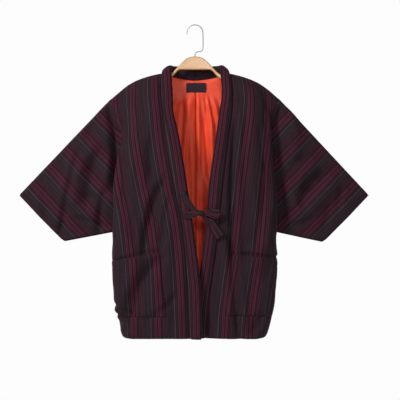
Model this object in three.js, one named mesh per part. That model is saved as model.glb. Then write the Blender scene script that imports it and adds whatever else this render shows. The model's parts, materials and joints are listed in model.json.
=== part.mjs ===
// A hanten, the padded Japanese short coat, hanging on a wooden hanger.
// Millimetres, +Z up. The origin is under the crown of the hook, where the hanger bears on a rail.
// X runs to the right as seen from the front, and the front faces -Y.
// Shapes of the coat are worked out in (out, y, z): out is the distance from the middle of the coat,
// and closedMesh() turns it to +X on the right side and to -X on the left side.

import * as THREE from "three";

// Driving sizes of the coat
const hemZ = -915;
const neckZ = -139;
const backNeckZ = -160;
const underarmZ = -603;
const wall = 6;
const collarThick = 14;
const seamGap = 0.3;
const armholeGap = 1.2;
const armholeRound = 12;
const armholeDepth = 16;
const sleeveDepth = 25;
const cornerReach = 26;
const turnShare = 0.62;
const shoulderRound = 24;
const sleeveInset = 1.5;
const neckShare = 0.06;

// Driving sizes of the lining, label, pockets and ties
const liningThick = 1.5;
const pocketThick = 3;
const pocketOpen = 1.6;
const pocketGap = 0.5;
const tieThick = 5;
const label = { x: 3, top: -165, width: 58, height: 28, thick: 0.8, off: 2 };

// Driving sizes of the hanger
const wireRadius = 1.7;
const hookRadius = 23;
const stemTop = -66;
const shankZ = -76;
const bendRadius = 7;
const woodTop = -90;
const woodDepth = 12;
const woodBevel = 3.5;
const armReach = 184;
const armHeight = 12;

// The top line of the shoulder and sleeve head, from the neck outwards
const shoulderLine = [
  { out: 95, z: neckZ },
  { out: 132, z: -147.5 },
  { out: 166, z: -159 },
  { out: 190, z: -171 },
  { out: 207, z: -182.5 },
  { out: 222, z: -194 },
  { out: 236, z: -206 },
  { out: 247, z: -217 },
];

// Depth of the front and back from the hanger's plane, by the drop below the shoulder's round
const depths = [
  { drop: 24, front: 24, back: 24 },
  { drop: 45, front: 31, back: 33 },
  { drop: 110, front: 45, back: 41 },
  { drop: 190, front: 57, back: 46 },
  { drop: 320, front: 66, back: 51 },
  { drop: 450, front: 69, back: 54 },
  { drop: 600, front: 67, back: 52 },
  { drop: 780, front: 60, back: 48 },
];

// How far out the front's side fold and the armhole or side seam lie, by height
const sides = [
  { z: -217, leftFold: 193, leftSeam: 246, rightFold: 207, rightSeam: 244 },
  { z: -252, leftFold: 200, leftSeam: 238, rightFold: 216, rightSeam: 231 },
  { z: -285, leftFold: 206, leftSeam: 225, rightFold: 219, rightSeam: 220 },
  { z: -331, leftFold: 213, leftSeam: 214, rightFold: 221, rightSeam: 212 },
  { z: -393, leftFold: 223, leftSeam: 211, rightFold: 223, rightSeam: 211 },
  { z: -480, leftFold: 232, leftSeam: 219, rightFold: 229, rightSeam: 217 },
  { z: -560, leftFold: 236, leftSeam: 227, rightFold: 234, rightSeam: 224 },
  { z: -603, leftFold: 238, leftSeam: 233, rightFold: 236, rightSeam: 231 },
  { z: -620, leftFold: 237, leftSeam: 239, rightFold: 234, rightSeam: 237 },
  { z: -690, leftFold: 236, leftSeam: 241, rightFold: 234, rightSeam: 239 },
  { z: -750, leftFold: 234, leftSeam: 239, rightFold: 232, rightSeam: 238 },
  { z: -800, leftFold: 227, leftSeam: 231, rightFold: 228, rightSeam: 232 },
  { z: -850, leftFold: 219, leftSeam: 224, rightFold: 219, rightSeam: 224 },
  { z: -895, leftFold: 211, leftSeam: 216, rightFold: 209, rightSeam: 214 },
  { z: -915, leftFold: 205, leftSeam: 210, rightFold: 200, rightSeam: 205 },
];

// The collar round the back of the neck, from the centre seam to the shoulder, alike on both sides
const neckRows = [
  { seamOut: 0, seamY: 34, seamZ: backNeckZ, edgeOut: 0, edgeY: 37, edgeZ: -118 },
  { seamOut: 45, seamY: 31, seamZ: -154, edgeOut: 42, edgeY: 35, edgeZ: -116 },
  { seamOut: 80, seamY: 19, seamZ: -144, edgeOut: 64, edgeY: 22, edgeZ: -115 },
];

// The collar down each front, from the shoulder to the hem
const collarRows = {
  left: [
    { seamOut: 95, seamY: 0, seamZ: neckZ, edgeOut: 67, edgeY: 1, edgeZ: -118 },
    { seamOut: 98, seamY: -19, seamZ: -157, edgeOut: 67, edgeY: -17, edgeZ: -143 },
    { seamOut: 97, seamY: -33, seamZ: -203, edgeOut: 64, edgeY: -28, edgeZ: -200 },
    { seamOut: 92, seamY: -43, seamZ: -247, edgeOut: 62, edgeY: -39, edgeZ: -247 },
    { seamOut: 83, seamY: -56, seamZ: -331, edgeOut: 44, edgeY: -55, edgeZ: -331 },
    { seamOut: 61, seamY: -65, seamZ: -463, edgeOut: 22, edgeY: -67, edgeZ: -463 },
    { seamOut: 40, seamY: -67, seamZ: -559, edgeOut: 8, edgeY: -71, edgeZ: -559 },
    { seamOut: 26.5, seamY: -66, seamZ: -664, edgeOut: -7, edgeY: -71, edgeZ: -664 },
    { seamOut: 20.5, seamY: -63, seamZ: -758, edgeOut: -17, edgeY: -71, edgeZ: -758 },
    { seamOut: 17, seamY: -61, seamZ: -834, edgeOut: -20, edgeY: -71, edgeZ: -834 },
    { seamOut: 15, seamY: -60, seamZ: hemZ, edgeOut: -21.5, edgeY: -70, edgeZ: hemZ },
  ],
  right: [
    { seamOut: 98, seamY: 0, seamZ: neckZ, edgeOut: 72, edgeY: 1, edgeZ: -118 },
    { seamOut: 104, seamY: -19, seamZ: -157, edgeOut: 74, edgeY: -17, edgeZ: -145 },
    { seamOut: 108, seamY: -33, seamZ: -203, edgeOut: 77, edgeY: -28, edgeZ: -200 },
    { seamOut: 105, seamY: -43, seamZ: -247, edgeOut: 71, edgeY: -39, edgeZ: -247 },
    { seamOut: 93.5, seamY: -56, seamZ: -331, edgeOut: 59, edgeY: -55, edgeZ: -331 },
    { seamOut: 77.5, seamY: -65, seamZ: -463, edgeOut: 40, edgeY: -66, edgeZ: -463 },
    { seamOut: 68, seamY: -67, seamZ: -559, edgeOut: 33, edgeY: -66, edgeZ: -559 },
    { seamOut: 56.5, seamY: -60, seamZ: -664, edgeOut: 21.5, edgeY: -57, edgeZ: -664 },
    { seamOut: 43.5, seamY: -50, seamZ: -758, edgeOut: 7, edgeY: -47, edgeZ: -758 },
    { seamOut: 34.5, seamY: -45, seamZ: -834, edgeOut: -3, edgeY: -43, edgeZ: -834 },
    { seamOut: 30.5, seamY: -43, seamZ: hemZ, edgeOut: -6, edgeY: -41, edgeZ: hemZ },
  ],
};

// Largest soft folds of the body: depth is how far the cloth sinks, or swells where it is negative
const bodyFolds = [
  { side: "left", face: -1, out: 118, z: -500, wide: 26, tall: 170, lean: -0.12, depth: 7 },
  { side: "left", face: -1, out: 165, z: -420, wide: 30, tall: 190, lean: 0.1, depth: -5 },
  { side: "left", face: -1, out: 205, z: -840, wide: 34, tall: 26, lean: 0, depth: 7 },
  { side: "right", face: -1, out: 104, z: -520, wide: 22, tall: 200, lean: -0.1, depth: 7 },
  { side: "right", face: -1, out: 160, z: -430, wide: 30, tall: 190, lean: 0.08, depth: -5 },
  { side: "left", face: 1, out: 62, z: -560, wide: 30, tall: 260, lean: 0, depth: -6 },
  { side: "left", face: 1, out: 130, z: -520, wide: 26, tall: 240, lean: 0.06, depth: 8 },
  { side: "right", face: 1, out: 70, z: -540, wide: 32, tall: 260, lean: 0, depth: -6 },
  { side: "right", face: 1, out: 140, z: -500, wide: 26, tall: 240, lean: 0.05, depth: 8 },
];

// Top and bottom corners of the cuffs
const cuffs = {
  left: { topOut: 510, topZ: -495, lowOut: 381, lowZ: -630 },
  right: { topOut: 502, topZ: -495, lowOut: 365, lowZ: -630 },
};

// Corners of the patch pockets: across is a share of the front's width, and down one of its length
const pockets = {
  left: { inTop: 0.265, inLow: 0.24, out: 0.84, mouthIn: 0.672, mouthOut: 0.694, foot: 0.906 },
  right: { inTop: 0.23, inLow: 0.23, out: 0.85, mouthIn: 0.677, mouthOut: 0.684, foot: 0.9 },
};

// Ribbons of the tied chest ties: the two edges of each, station by station
const ribbons = {
  tie_left: [
    { x1: -26, y1: -78.3, z1: -486, x2: -40, y2: -76.3, z2: -493 },
    { x1: -14, y1: -80.2, z1: -508, x2: -31, y2: -79.2, z2: -519 },
    { x1: 0, y1: -82, z1: -529, x2: -12, y2: -82, z2: -539 },
    { x1: 12.6, y1: -82, z1: -538.8, x2: 8, y2: -82, z2: -545.3 },
  ],
  bow_loop_left: [
    { x1: 8, y1: -83, z1: -549, x2: 11, y2: -83, z2: -556 },
    { x1: -8, y1: -81.7, z1: -544, x2: -6, y2: -81.7, z2: -561 },
    { x1: -24, y1: -79.6, z1: -543, x2: -22, y2: -79.6, z2: -563 },
    { x1: -36, y1: -77.1, z1: -546, x2: -35, y2: -77.1, z2: -560 },
  ],
  tie_right: [
    { x1: 31.3, y1: -76, z1: -543, x2: 31.3, y2: -76, z2: -551 },
    { x1: 44, y1: -76.2, z1: -536, x2: 44, y2: -76.2, z2: -552 },
    { x1: 58, y1: -76.2, z1: -533, x2: 58, y2: -76.2, z2: -553 },
  ],
  bow_loop_right: [
    { x1: 31.4, y1: -84, z1: -542, x2: 31.4, y2: -84, z2: -551 },
    { x1: 46, y1: -84.4, z1: -537, x2: 45, y2: -84.4, z2: -560 },
    { x1: 62, y1: -84.4, z1: -537, x2: 60, y2: -84.4, z2: -563 },
    { x1: 76, y1: -82, z1: -541, x2: 73, y2: -82, z2: -560 },
  ],
  tie_tail: [
    { x1: 20, y1: -80, z1: -557.5, x2: 29, y2: -80, z2: -554.5 },
    { x1: 29, y1: -78, z1: -573, x2: 50, y2: -78, z2: -567 },
    { x1: 40, y1: -75.5, z1: -592, x2: 64, y2: -77, z2: -581 },
    { x1: 52, y1: -73, z1: -611, x2: 76, y2: -74.5, z2: -598 },
    { x1: 61, y1: -71, z1: -624, x2: 84, y2: -73, z2: -609 },
  ],
};
const knot = { x: 20, y: -81, z: -547.5, wide: 11.5, deep: 8.5, high: 9 };

const materials = {
  cloth: new THREE.MeshStandardMaterial({ color: 0x33262b, roughness: 0.95, metalness: 0 }),
  lining: new THREE.MeshStandardMaterial({ color: 0xc8452c, roughness: 0.6, metalness: 0 }),
  label: new THREE.MeshStandardMaterial({ color: 0x2a2028, roughness: 0.9, metalness: 0 }),
  wood: new THREE.MeshStandardMaterial({ color: 0xdcae74, roughness: 0.45, metalness: 0 }),
  steel: new THREE.MeshStandardMaterial({ color: 0xb8b8b8, roughness: 0.3, metalness: 1 }),
};

const mix = THREE.MathUtils.lerp;
const clamp = THREE.MathUtils.clamp;

// One column of a table at x, on a smooth curve that never overshoots its rows
function lookup(rows, key, column, x) {
  const up = rows[rows.length - 1][key] > rows[0][key];
  const list = up ? rows : [...rows].reverse();
  const last = list.length - 1;
  if (x <= list[0][key]) return list[0][column];
  if (x >= list[last][key]) return list[last][column];
  const i = list.findIndex((row) => row[key] > x) - 1;
  const steep = (k) =>
    (list[k + 1][column] - list[k][column]) / (list[k + 1][key] - list[k][key]);
  const slope = (k) => {
    if (k === 0) return steep(0);
    if (k === last) return steep(last - 1);
    const before = steep(k - 1);
    const after = steep(k);
    return before * after <= 0 ? 0 : (2 * before * after) / (before + after);
  };
  const width = list[i + 1][key] - list[i][key];
  const t = (x - list[i][key]) / width;
  const rise = list[i + 1][column] - list[i][column];
  const start = slope(i) * width;
  const end = slope(i + 1) * width;
  return (
    list[i][column] +
    t * start +
    t * t * (3 * rise - 2 * start - end) +
    t ** 3 * (start + end - 2 * rise)
  );
}

// Half the depth of a flattened tube at a distance from its rounded edge
function roundEdge(distance, depth) {
  if (distance <= 0) return 0;
  const radius = Math.min(armholeRound, depth);
  if (distance < radius) return Math.sqrt(radius ** 2 - (radius - distance) ** 2);
  return mix(radius, depth, THREE.MathUtils.smoothstep(distance, radius, radius + 80));
}

// Rows numbered in order, so that a curve can run through them
function stepped(rows) {
  return rows.map((row, step) => ({ ...row, step }));
}

// The height of the shoulder line at a distance out
function shoulderZ(out) {
  return lookup(shoulderLine, "out", "z", out);
}

// How far the front or back stands from the hanger's plane at a drop below the shoulder line
function depthAt(face, drop) {
  if (drop < shoulderRound) return Math.sqrt(drop * (2 * shoulderRound - drop));
  return lookup(depths, "drop", face, drop);
}

// Half the depth of the armhole at a height
function armholeY(z, topZ) {
  return roundEdge(Math.min(topZ - z, z - underarmZ), armholeDepth);
}

// How far a body fold moves the cloth inwards at a place
function foldDepth(side, face, out, z) {
  let total = 0;
  for (const fold of bodyFolds) {
    if (fold.side !== side || fold.face !== face) continue;
    const across = (out - fold.out - fold.lean * (z - fold.z)) / fold.wide;
    const along = (z - fold.z) / fold.tall;
    total += fold.depth * Math.exp(-across * across - along * along);
  }
  return total;
}

// The depth of the centre back seam at a height
function centreBackY(z) {
  return depthAt("back", backNeckZ - z + 48);
}

// The inner edge of a body panel: the collar seam in front, then the neck and the centre back
function innerEdge(side, along) {
  if (along <= 0) {
    const z = mix(neckZ, hemZ, -along);
    const rows = collarRows[side];
    return { out: lookup(rows, "seamZ", "seamOut", z), y: lookup(rows, "seamZ", "seamY", z), z };
  }
  if (along < neckShare) {
    const rows = stepped([collarRows[side][0], ...[...neckRows].reverse()]);
    const step = neckRows.length * (along / neckShare) ** 0.8;
    const read = (column) => lookup(rows, "step", column, step);
    return { out: read("seamOut"), y: read("seamY"), z: read("seamZ") };
  }
  const z = mix(backNeckZ, hemZ, (along - neckShare) / (1 - neckShare));
  return { out: 0, y: centreBackY(z), z };
}

// Shares of the panel's width at the middle, the start of the side's turn, the side fold and the seam
const shares = [0.33, 0.66, 0.86, 1];

// Where those four lines of a panel start on the shoulder
function shoulderStarts(side) {
  const corner = sides[0][side + "Fold"] - cornerReach;
  const middle = mix(collarRows[side][0].seamOut, corner, 0.5);
  return [middle, corner, sides[0][side + "Fold"], sides[0][side + "Seam"]];
}

// A row across a body panel: along is -1 at the front hem, 0 on the shoulder and 1 at the back hem
function panelRow(side, along) {
  const face = along <= 0 ? "front" : "back";
  const sign = along <= 0 ? -1 : 1;
  const drop = Math.abs(along);
  const inner = innerEdge(side, along);
  const heights = shoulderStarts(side).map((out) => {
    const top = shoulderZ(out);
    return { top, z: mix(top, hemZ, drop) };
  });
  const deep = (k) => depthAt(face, heights[k].top - heights[k].z);
  const fold = lookup(sides, "z", side + "Fold", heights[2].z);
  const seam = lookup(sides, "z", side + "Seam", heights[3].z);
  const seamY = Math.max(armholeY(heights[3].z, heights[3].top), drop > 0 ? 0.6 : 0);
  const corner = fold - cornerReach;
  const middle = mix(inner.out, corner, 0.5);
  return [
    { share: 0, ...inner },
    { share: shares[0], out: middle, y: sign * deep(0), z: heights[0].z },
    { share: shares[1], out: corner, y: sign * deep(1), z: heights[1].z },
    { share: shares[2], out: fold, y: sign * turnShare * deep(2), z: heights[2].z },
    { share: shares[3], out: seam, y: sign * seamY, z: heights[3].z },
  ];
}

// A point of a body panel's outer face, in (out, y, z)
function panelPoint(side, across, along) {
  const row = panelRow(side, along);
  const read = (column) => lookup(row, "share", column, across);
  const sign = along <= 0 ? -1 : 1;
  const point = new THREE.Vector3(read("out"), read("y"), read("z"));
  const free = Math.sin(Math.PI * clamp(across / 0.8, 0, 1));
  point.y -= sign * free * foldDepth(side, sign, point.x, point.z);
  return point;
}

// The direction out of a surface at a place, from small steps to either side
function outward(surface, u, v) {
  const step = 1e-3;
  const [u0, u1] = [Math.max(u - step, surface.u[0]), Math.min(u + step, surface.u[1])];
  const [v0, v1] = [Math.max(v - step, surface.v[0]), Math.min(v + step, surface.v[1])];
  const du = surface.at(u1, v).sub(surface.at(u0, v));
  const dv = surface.at(u, v1).sub(surface.at(u, v0));
  const normal = du.cross(dv);
  if (surface.squareX && surface.squareX(u, v)) normal.x = 0;
  if (surface.squareY && surface.squareY(u, v)) normal.y = 0;
  return normal.normalize();
}

// A mesh from (out, y, z) points and triangles, placed on its side with its faces outwards
function closedMesh(name, material, points, triangles, side) {
  const sign = side === "left" ? -1 : 1;
  const placed = points.map((p) => new THREE.Vector3(sign * p.x, p.y, p.z));
  const six = triangles.reduce((sum, [a, b, c]) => {
    const turned = new THREE.Vector3().crossVectors(placed[b], placed[c]);
    return sum + placed[a].dot(turned);
  }, 0);
  const index = triangles.flatMap(([a, b, c]) => (six > 0 ? [a, b, c] : [a, c, b]));
  const geometry = new THREE.BufferGeometry().setFromPoints(placed).setIndex(index);
  geometry.computeVertexNormals();
  const mesh = new THREE.Mesh(geometry, material);
  mesh.name = name;
  return mesh;
}

// A sheet of cloth between two layers of the same grid, closed by a rim; round closes it into a tube
function clothGrid(layers, columns, rows, round) {
  const triangles = [];
  const at = (layer, i, j) => layer * columns * rows + j * columns + (i % columns);
  const quad = (a, b, c, d) => triangles.push([a, b, c], [a, c, d]);
  const lastColumn = round ? columns : columns - 1;
  for (let j = 0; j < rows - 1; j++)
    for (let i = 0; i < lastColumn; i++) {
      quad(at(0, i, j), at(0, i + 1, j), at(0, i + 1, j + 1), at(0, i, j + 1));
      quad(at(1, i, j), at(1, i, j + 1), at(1, i + 1, j + 1), at(1, i + 1, j));
    }
  for (let i = 0; i < lastColumn; i++) {
    quad(at(0, i, 0), at(1, i, 0), at(1, i + 1, 0), at(0, i + 1, 0));
    quad(at(0, i, rows - 1), at(0, i + 1, rows - 1), at(1, i + 1, rows - 1), at(1, i, rows - 1));
  }
  if (!round)
    for (let j = 0; j < rows - 1; j++) {
      quad(at(0, 0, j), at(0, 0, j + 1), at(1, 0, j + 1), at(1, 0, j));
      const i = columns - 1;
      quad(at(0, i, j), at(1, i, j), at(1, i, j + 1), at(0, i, j + 1));
    }
  return { points: layers.flat(2), triangles };
}

// Cloth on a panel, from one height off it to another, pulled off the seam along its inner edge
function clothOn(name, material, side, us, vs, outer, inner) {
  const panel = panelSurface(side);
  const layer = (lift) =>
    vs.map((v) =>
      us.map((u) => {
        const point = panel.at(u, v).addScaledVector(outward(panel, u, v), lift);
        if (u === 0) point.x += seamGap;
        return point;
      }),
    );
  const { points, triangles } = clothGrid([layer(outer), layer(inner)], us.length, vs.length, false);
  return closedMesh(name, material, points, triangles, side);
}

// A body panel as a surface, cut square to the cloth along the centre back and the side seam
function panelSurface(side) {
  const low = (v) => panelPoint(side, 1, v).z < underarmZ;
  return {
    at: (u, v) => panelPoint(side, u, v),
    u: [0, 1],
    v: [-1, 1],
    squareX: (u, v) => u === 0 && v > neckShare - 1e-6,
    squareY: (u, v) => u === 1 && low(v),
  };
}

const underarmRows = [0.575, 0.553, 0.534];
const bodyColumns = [0, 0.09, 0.18, 0.27, 0.36, 0.46, 0.56, 0.66, 0.74, 0.81, 0.87, 0.94, 1];
const frontRows = [1, 0.96, 0.91, 0.86, 0.81, 0.75, 0.69, 0.62, ...underarmRows, 0.48, 0.4, 0.32];
const shoulderRows = [0.25, 0.18, 0.12, 0.07, 0.035, 0.016, 0.007, 0.002];
const backRows = [0.002, 0.007, 0.016, 0.03, 0.044, neckShare, 0.09, 0.14, 0.22, 0.31, 0.4, 0.48];
const backLowRows = [...[...underarmRows].reverse(), 0.63, 0.7, 0.78, 0.86, 0.93, 1];

function bodyPanel(side) {
  const fronts = [...frontRows, ...shoulderRows].map((share) => -share);
  const rows = [...fronts, 0, ...backRows, ...backLowRows];
  return clothOn("body_" + side, materials.cloth, side, bodyColumns, rows, 0, -wall);
}

function backLining(side) {
  const columns = bodyColumns.filter((u) => u < 0.8);
  const rows = [...backRows, ...backLowRows].filter((v) => v >= neckShare && v < 1);
  const outer = -wall - 2 * seamGap;
  return clothOn("lining_" + side, materials.lining, side, columns, rows, outer, outer - liningThick);
}

// A patch pocket on the front: inside its slanting edges it follows the panel's own grid
function pocket(side) {
  const edge = pockets[side];
  const inner = bodyColumns.filter((u) => u > edge.inTop + 0.03 && u < edge.out - 0.02);
  const low = frontRows.filter((v) => v > edge.mouthOut + 0.02 && v < edge.foot - 0.02);
  const columns = [0, ...inner, 1];
  const rows = [0, ...low, 1];
  const panel = panelSurface(side);
  const at = (u, v) => {
    const down = v === 0 || v === 1 ? 1 - v : (v - edge.mouthIn) / (edge.foot - edge.mouthIn);
    const first = mix(edge.inTop, edge.inLow, down);
    const across = u === 0 || u === 1 ? mix(first, edge.out, u) : u;
    const way = (across - first) / (edge.out - first);
    const along = -(v === 0 ? edge.foot : v === 1 ? mix(edge.mouthIn, edge.mouthOut, way) : v);
    const open = pocketOpen * Math.sin(Math.PI * way) * Math.max(0, 1 - 1.4 * down) ** 2;
    return { across, along, open };
  };
  const layer = (lift) =>
    rows.map((v) =>
      columns.map((u) => {
        const { across, along, open } = at(u, v);
        const normal = outward(panel, across, along);
        return panel.at(across, along).addScaledVector(normal, open + lift);
      }),
    );
  const layers = [layer(pocketGap + pocketThick), layer(pocketGap)];
  const { points, triangles } = clothGrid(layers, columns.length, rows.length, false);
  return closedMesh("pocket_" + side, materials.cloth, points, triangles, side);
}

// A sleeve: a flattened tube from the armhole to the cuff. turn is 0 on top, 0.5 below, and 1 on top
function sleevePoint(side, turn, along) {
  const cuff = cuffs[side];
  const angle = 2 * Math.PI * turn;
  const down = (1 - Math.cos(angle)) / 2;
  const topZ = shoulderZ(shoulderStarts(side)[3]);
  const armZ = mix(topZ, underarmZ, down);
  const armOut = lookup(sides, "z", side + "Seam", armZ) + armholeGap;
  const out = mix(armOut, mix(cuff.topOut, cuff.lowOut, down), along);
  const z = mix(armZ, mix(cuff.topZ, cuff.lowZ, down), along);
  const length = mix(topZ - underarmZ, Math.hypot(cuff.topOut - cuff.lowOut, cuff.topZ - cuff.lowZ), along);
  const swell = Math.sin(Math.PI * Math.min(1, along * 1.2)) * (sleeveDepth - armholeDepth);
  const inset = sleeveInset * Math.max(0, 1 - along / 0.06);
  const depth = mix(armholeDepth, 19, along) + swell;
  const y = Math.max(0, roundEdge(Math.min(down, 1 - down) * length, depth) - inset);
  return new THREE.Vector3(out, turn < 0.5 ? -y : y, z);
}

function sleeve(side) {
  const around = 28;
  const along = [0, 0.06, 0.14, 0.24, 0.36, 0.48, 0.6, 0.72, 0.84, 0.94, 1];
  const surface = { at: (u, v) => sleevePoint(side, (u + 1) % 1, v), u: [-1, 2], v: [0, 1] };
  const layer = (lift) =>
    along.map((v) =>
      Array.from({ length: around }, (_, i) => {
        const normal = outward(surface, i / around, v);
        return surface.at(i / around, v).addScaledVector(normal, lift);
      }),
    );
  const { points, triangles } = clothGrid([layer(0), layer(-wall)], around, along.length, true);
  return closedMesh("sleeve_" + side, materials.cloth, points, triangles, side);
}

// Stations along a band for each row of its table, and points round each station
const perRow = 3;
const bandRound = 12;

// A padded band between two edge lines, with flat ends; start is the way it sets off
function band(name, material, side, stations, thick, gap, start) {
  const around = bandRound;
  const points = [];
  stations.forEach(([first, second], j) => {
    const before = stations[Math.max(j - 1, 0)];
    const after = stations[Math.min(j + 1, stations.length - 1)];
    const middle = new THREE.Vector3().addVectors(first, second).multiplyScalar(0.5);
    const half = new THREE.Vector3().subVectors(second, first).multiplyScalar(0.5);
    const free = after[0].clone().add(after[1]).sub(before[0]).sub(before[1]);
    const run = j === 0 && start ? start : free;
    const normal = new THREE.Vector3().crossVectors(half, run).normalize();
    half.setLength(half.length() - gap);
    for (let i = 0; i < around; i++) {
      const angle = (2 * Math.PI * (i + 0.5)) / around;
      const wide = Math.sign(Math.cos(angle)) * Math.abs(Math.cos(angle)) ** 0.7;
      const high = Math.sign(Math.sin(angle)) * Math.abs(Math.sin(angle)) ** 0.75;
      points.push(
        middle.clone().addScaledVector(half, wide).addScaledVector(normal, (high * thick) / 2),
      );
    }
  });
  const triangles = [];
  const at = (i, j) => j * around + (i % around);
  const quad = (a, b, c, d) => triangles.push([a, b, c], [a, c, d]);
  for (let j = 0; j < stations.length - 1; j++)
    for (let i = 0; i < around; i++)
      quad(at(i, j), at(i + 1, j), at(i + 1, j + 1), at(i, j + 1));
  for (let i = 1; i < around - 1; i++) {
    const last = stations.length - 1;
    triangles.push([at(0, 0), at(i + 1, 0), at(i, 0)], [at(0, last), at(i, last), at(i + 1, last)]);
  }
  return closedMesh(name, material, points, triangles, side);
}

function collar(side) {
  const rows = stepped([...neckRows, ...collarRows[side]]);
  const count = (rows.length - 1) * perRow;
  const stations = Array.from({ length: count + 1 }, (_, i) => {
    const read = (column) => lookup(rows, "step", column, i / perRow);
    const shift = i === 0 ? seamGap / 2 : 0;
    return [
      new THREE.Vector3(read("seamOut") + shift, read("seamY"), read("seamZ")),
      new THREE.Vector3(read("edgeOut") + shift, read("edgeY"), read("edgeZ")),
    ];
  });
  const out = new THREE.Vector3(1, 0, 0);
  return band("collar_" + side, materials.cloth, side, stations, collarThick, seamGap, out);
}

function ribbon(name) {
  const rows = stepped(ribbons[name]);
  const count = (rows.length - 1) * perRow;
  const stations = Array.from({ length: count + 1 }, (_, i) => {
    const read = (column) => lookup(rows, "step", column, i / perRow);
    return [
      new THREE.Vector3(read("x1"), read("y1"), read("z1")),
      new THREE.Vector3(read("x2"), read("y2"), read("z2")),
    ];
  });
  return band(name, materials.cloth, "right", stations, tieThick, 0);
}

function tieKnot() {
  const mesh = new THREE.Mesh(new THREE.SphereGeometry(1, 14, 10), materials.cloth);
  mesh.scale.set(knot.wide, knot.deep, knot.high);
  mesh.position.set(knot.x, knot.y, knot.z);
  mesh.name = "knot";
  return mesh;
}

// The label lies on the lining, and slopes as the centre back does
function wovenLabel() {
  const liningY = (z) => centreBackY(z) - wall - 2 * seamGap - liningThick;
  const low = label.top - label.height;
  const slope = Math.atan2(liningY(low) - liningY(label.top), label.height);
  const middle = (liningY(low) + liningY(label.top)) / 2;
  const plate = new THREE.BoxGeometry(label.width, label.thick, label.height);
  const mesh = new THREE.Mesh(plate, materials.label);
  mesh.rotation.x = slope;
  mesh.position.set(label.x, middle - label.off - label.thick, label.top - label.height / 2);
  mesh.name = "label";
  return mesh;
}

// The hanger's arm follows the inside of the shoulder
function armLine() {
  const line = [];
  for (let out = 121; out <= armReach; out += 12) {
    const slope = (shoulderZ(out + 1) - shoulderZ(out - 1)) / 2;
    const normal = new THREE.Vector2(-slope, 1).normalize();
    const on = new THREE.Vector2(out, shoulderZ(out));
    line.push(on.addScaledVector(normal, -wall - 4 * seamGap));
  }
  return line;
}

function hangerWood() {
  const hump = [
    [0, woodTop],
    [18, -93.5],
    [35, -105],
    [46, -116.5],
    [56, -127],
    [67, -138],
    [84, -148],
    [104, -153],
  ].map(([x, z]) => new THREE.Vector2(x, z));
  const top = [...hump, ...armLine()];
  const tip = top[top.length - 1];
  const low = [
    [tip.x - 3, tip.y - armHeight],
    [152, -176],
    [120, -166],
    [90, -161],
    [74, -154],
    [62, -144],
    [46, -129],
  ].map(([x, z]) => new THREE.Vector2(x, z));
  const round = new THREE.Vector2(tip.x + 3, tip.y - armHeight / 2);
  const half = [...top, round, ...low];
  const mirrored = [...half].reverse().map((p) => new THREE.Vector2(-p.x, p.y));
  const outline = [...half, ...mirrored.slice(0, -1)];
  const shape = new THREE.Shape(outline);
  const geometry = new THREE.ExtrudeGeometry(shape, {
    depth: woodDepth - 2 * woodBevel,
    bevelEnabled: true,
    bevelThickness: woodBevel,
    bevelSize: woodBevel,
    bevelOffset: -woodBevel,
    bevelSegments: 3,
    steps: 1,
  });
  geometry.translate(0, 0, -woodDepth / 2 + woodBevel);
  geometry.rotateX(Math.PI / 2);
  const mesh = new THREE.Mesh(geometry, materials.wood);
  mesh.name = "hanger_wood";
  return mesh;
}

// One wire: round the crown, down the right side, then a step back to the middle and into the wood
function hangerHook() {
  const flat = (x, z) => new THREE.Vector3(x, 0, z);
  const crownZ = wireRadius - hookRadius;
  const sweep = Math.PI * 1.06;
  const arc = Array.from({ length: 15 }, (_, i) => {
    const angle = sweep * (1 - i / 14);
    return flat(hookRadius * Math.cos(angle), crownZ + hookRadius * Math.sin(angle));
  });
  const bends = [
    flat(hookRadius, stemTop),
    flat(hookRadius - 2, shankZ + 3),
    flat(hookRadius - bendRadius, shankZ),
    flat(bendRadius, shankZ - 1),
    flat(2, shankZ - 4),
    flat(0, shankZ - bendRadius),
    flat(0, woodTop + seamGap),
  ];
  const wire = new THREE.Shape().absarc(0, 0, wireRadius, 0, 2 * Math.PI);
  const geometry = new THREE.ExtrudeGeometry(wire, {
    steps: 44,
    curveSegments: 8,
    bevelEnabled: false,
    extrudePath: new THREE.CatmullRomCurve3([...arc, ...bends], false, "centripetal"),
  });
  const mesh = new THREE.Mesh(geometry, materials.steel);
  mesh.name = "hanger_hook";
  return mesh;
}

const hanten = new THREE.Group();
for (const side of ["left", "right"])
  hanten.add(bodyPanel(side), sleeve(side), collar(side), backLining(side), pocket(side));
for (const name of Object.keys(ribbons)) hanten.add(ribbon(name));
hanten.add(tieKnot(), wovenLabel(), hangerWood(), hangerHook());

export default hanten;
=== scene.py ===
# %% [markdown]
# # A hanten on its hanger
# A hanten is a short padded coat: two long lengths of striped cotton hang front and back over the
# shoulders, two short wide sleeves are sewn to them, and a padded band runs round the neck and down
# both fronts. Cotton wadding lies between the striped cloth and a plain bright lining.
# The coat's plain solids come first. Everything below dresses them, in the same place and size.

# %% Load the coat's solids
import json
import math

import bmesh
import bpy
import numpy as np
from mathutils import Matrix, Vector, noise

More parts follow.
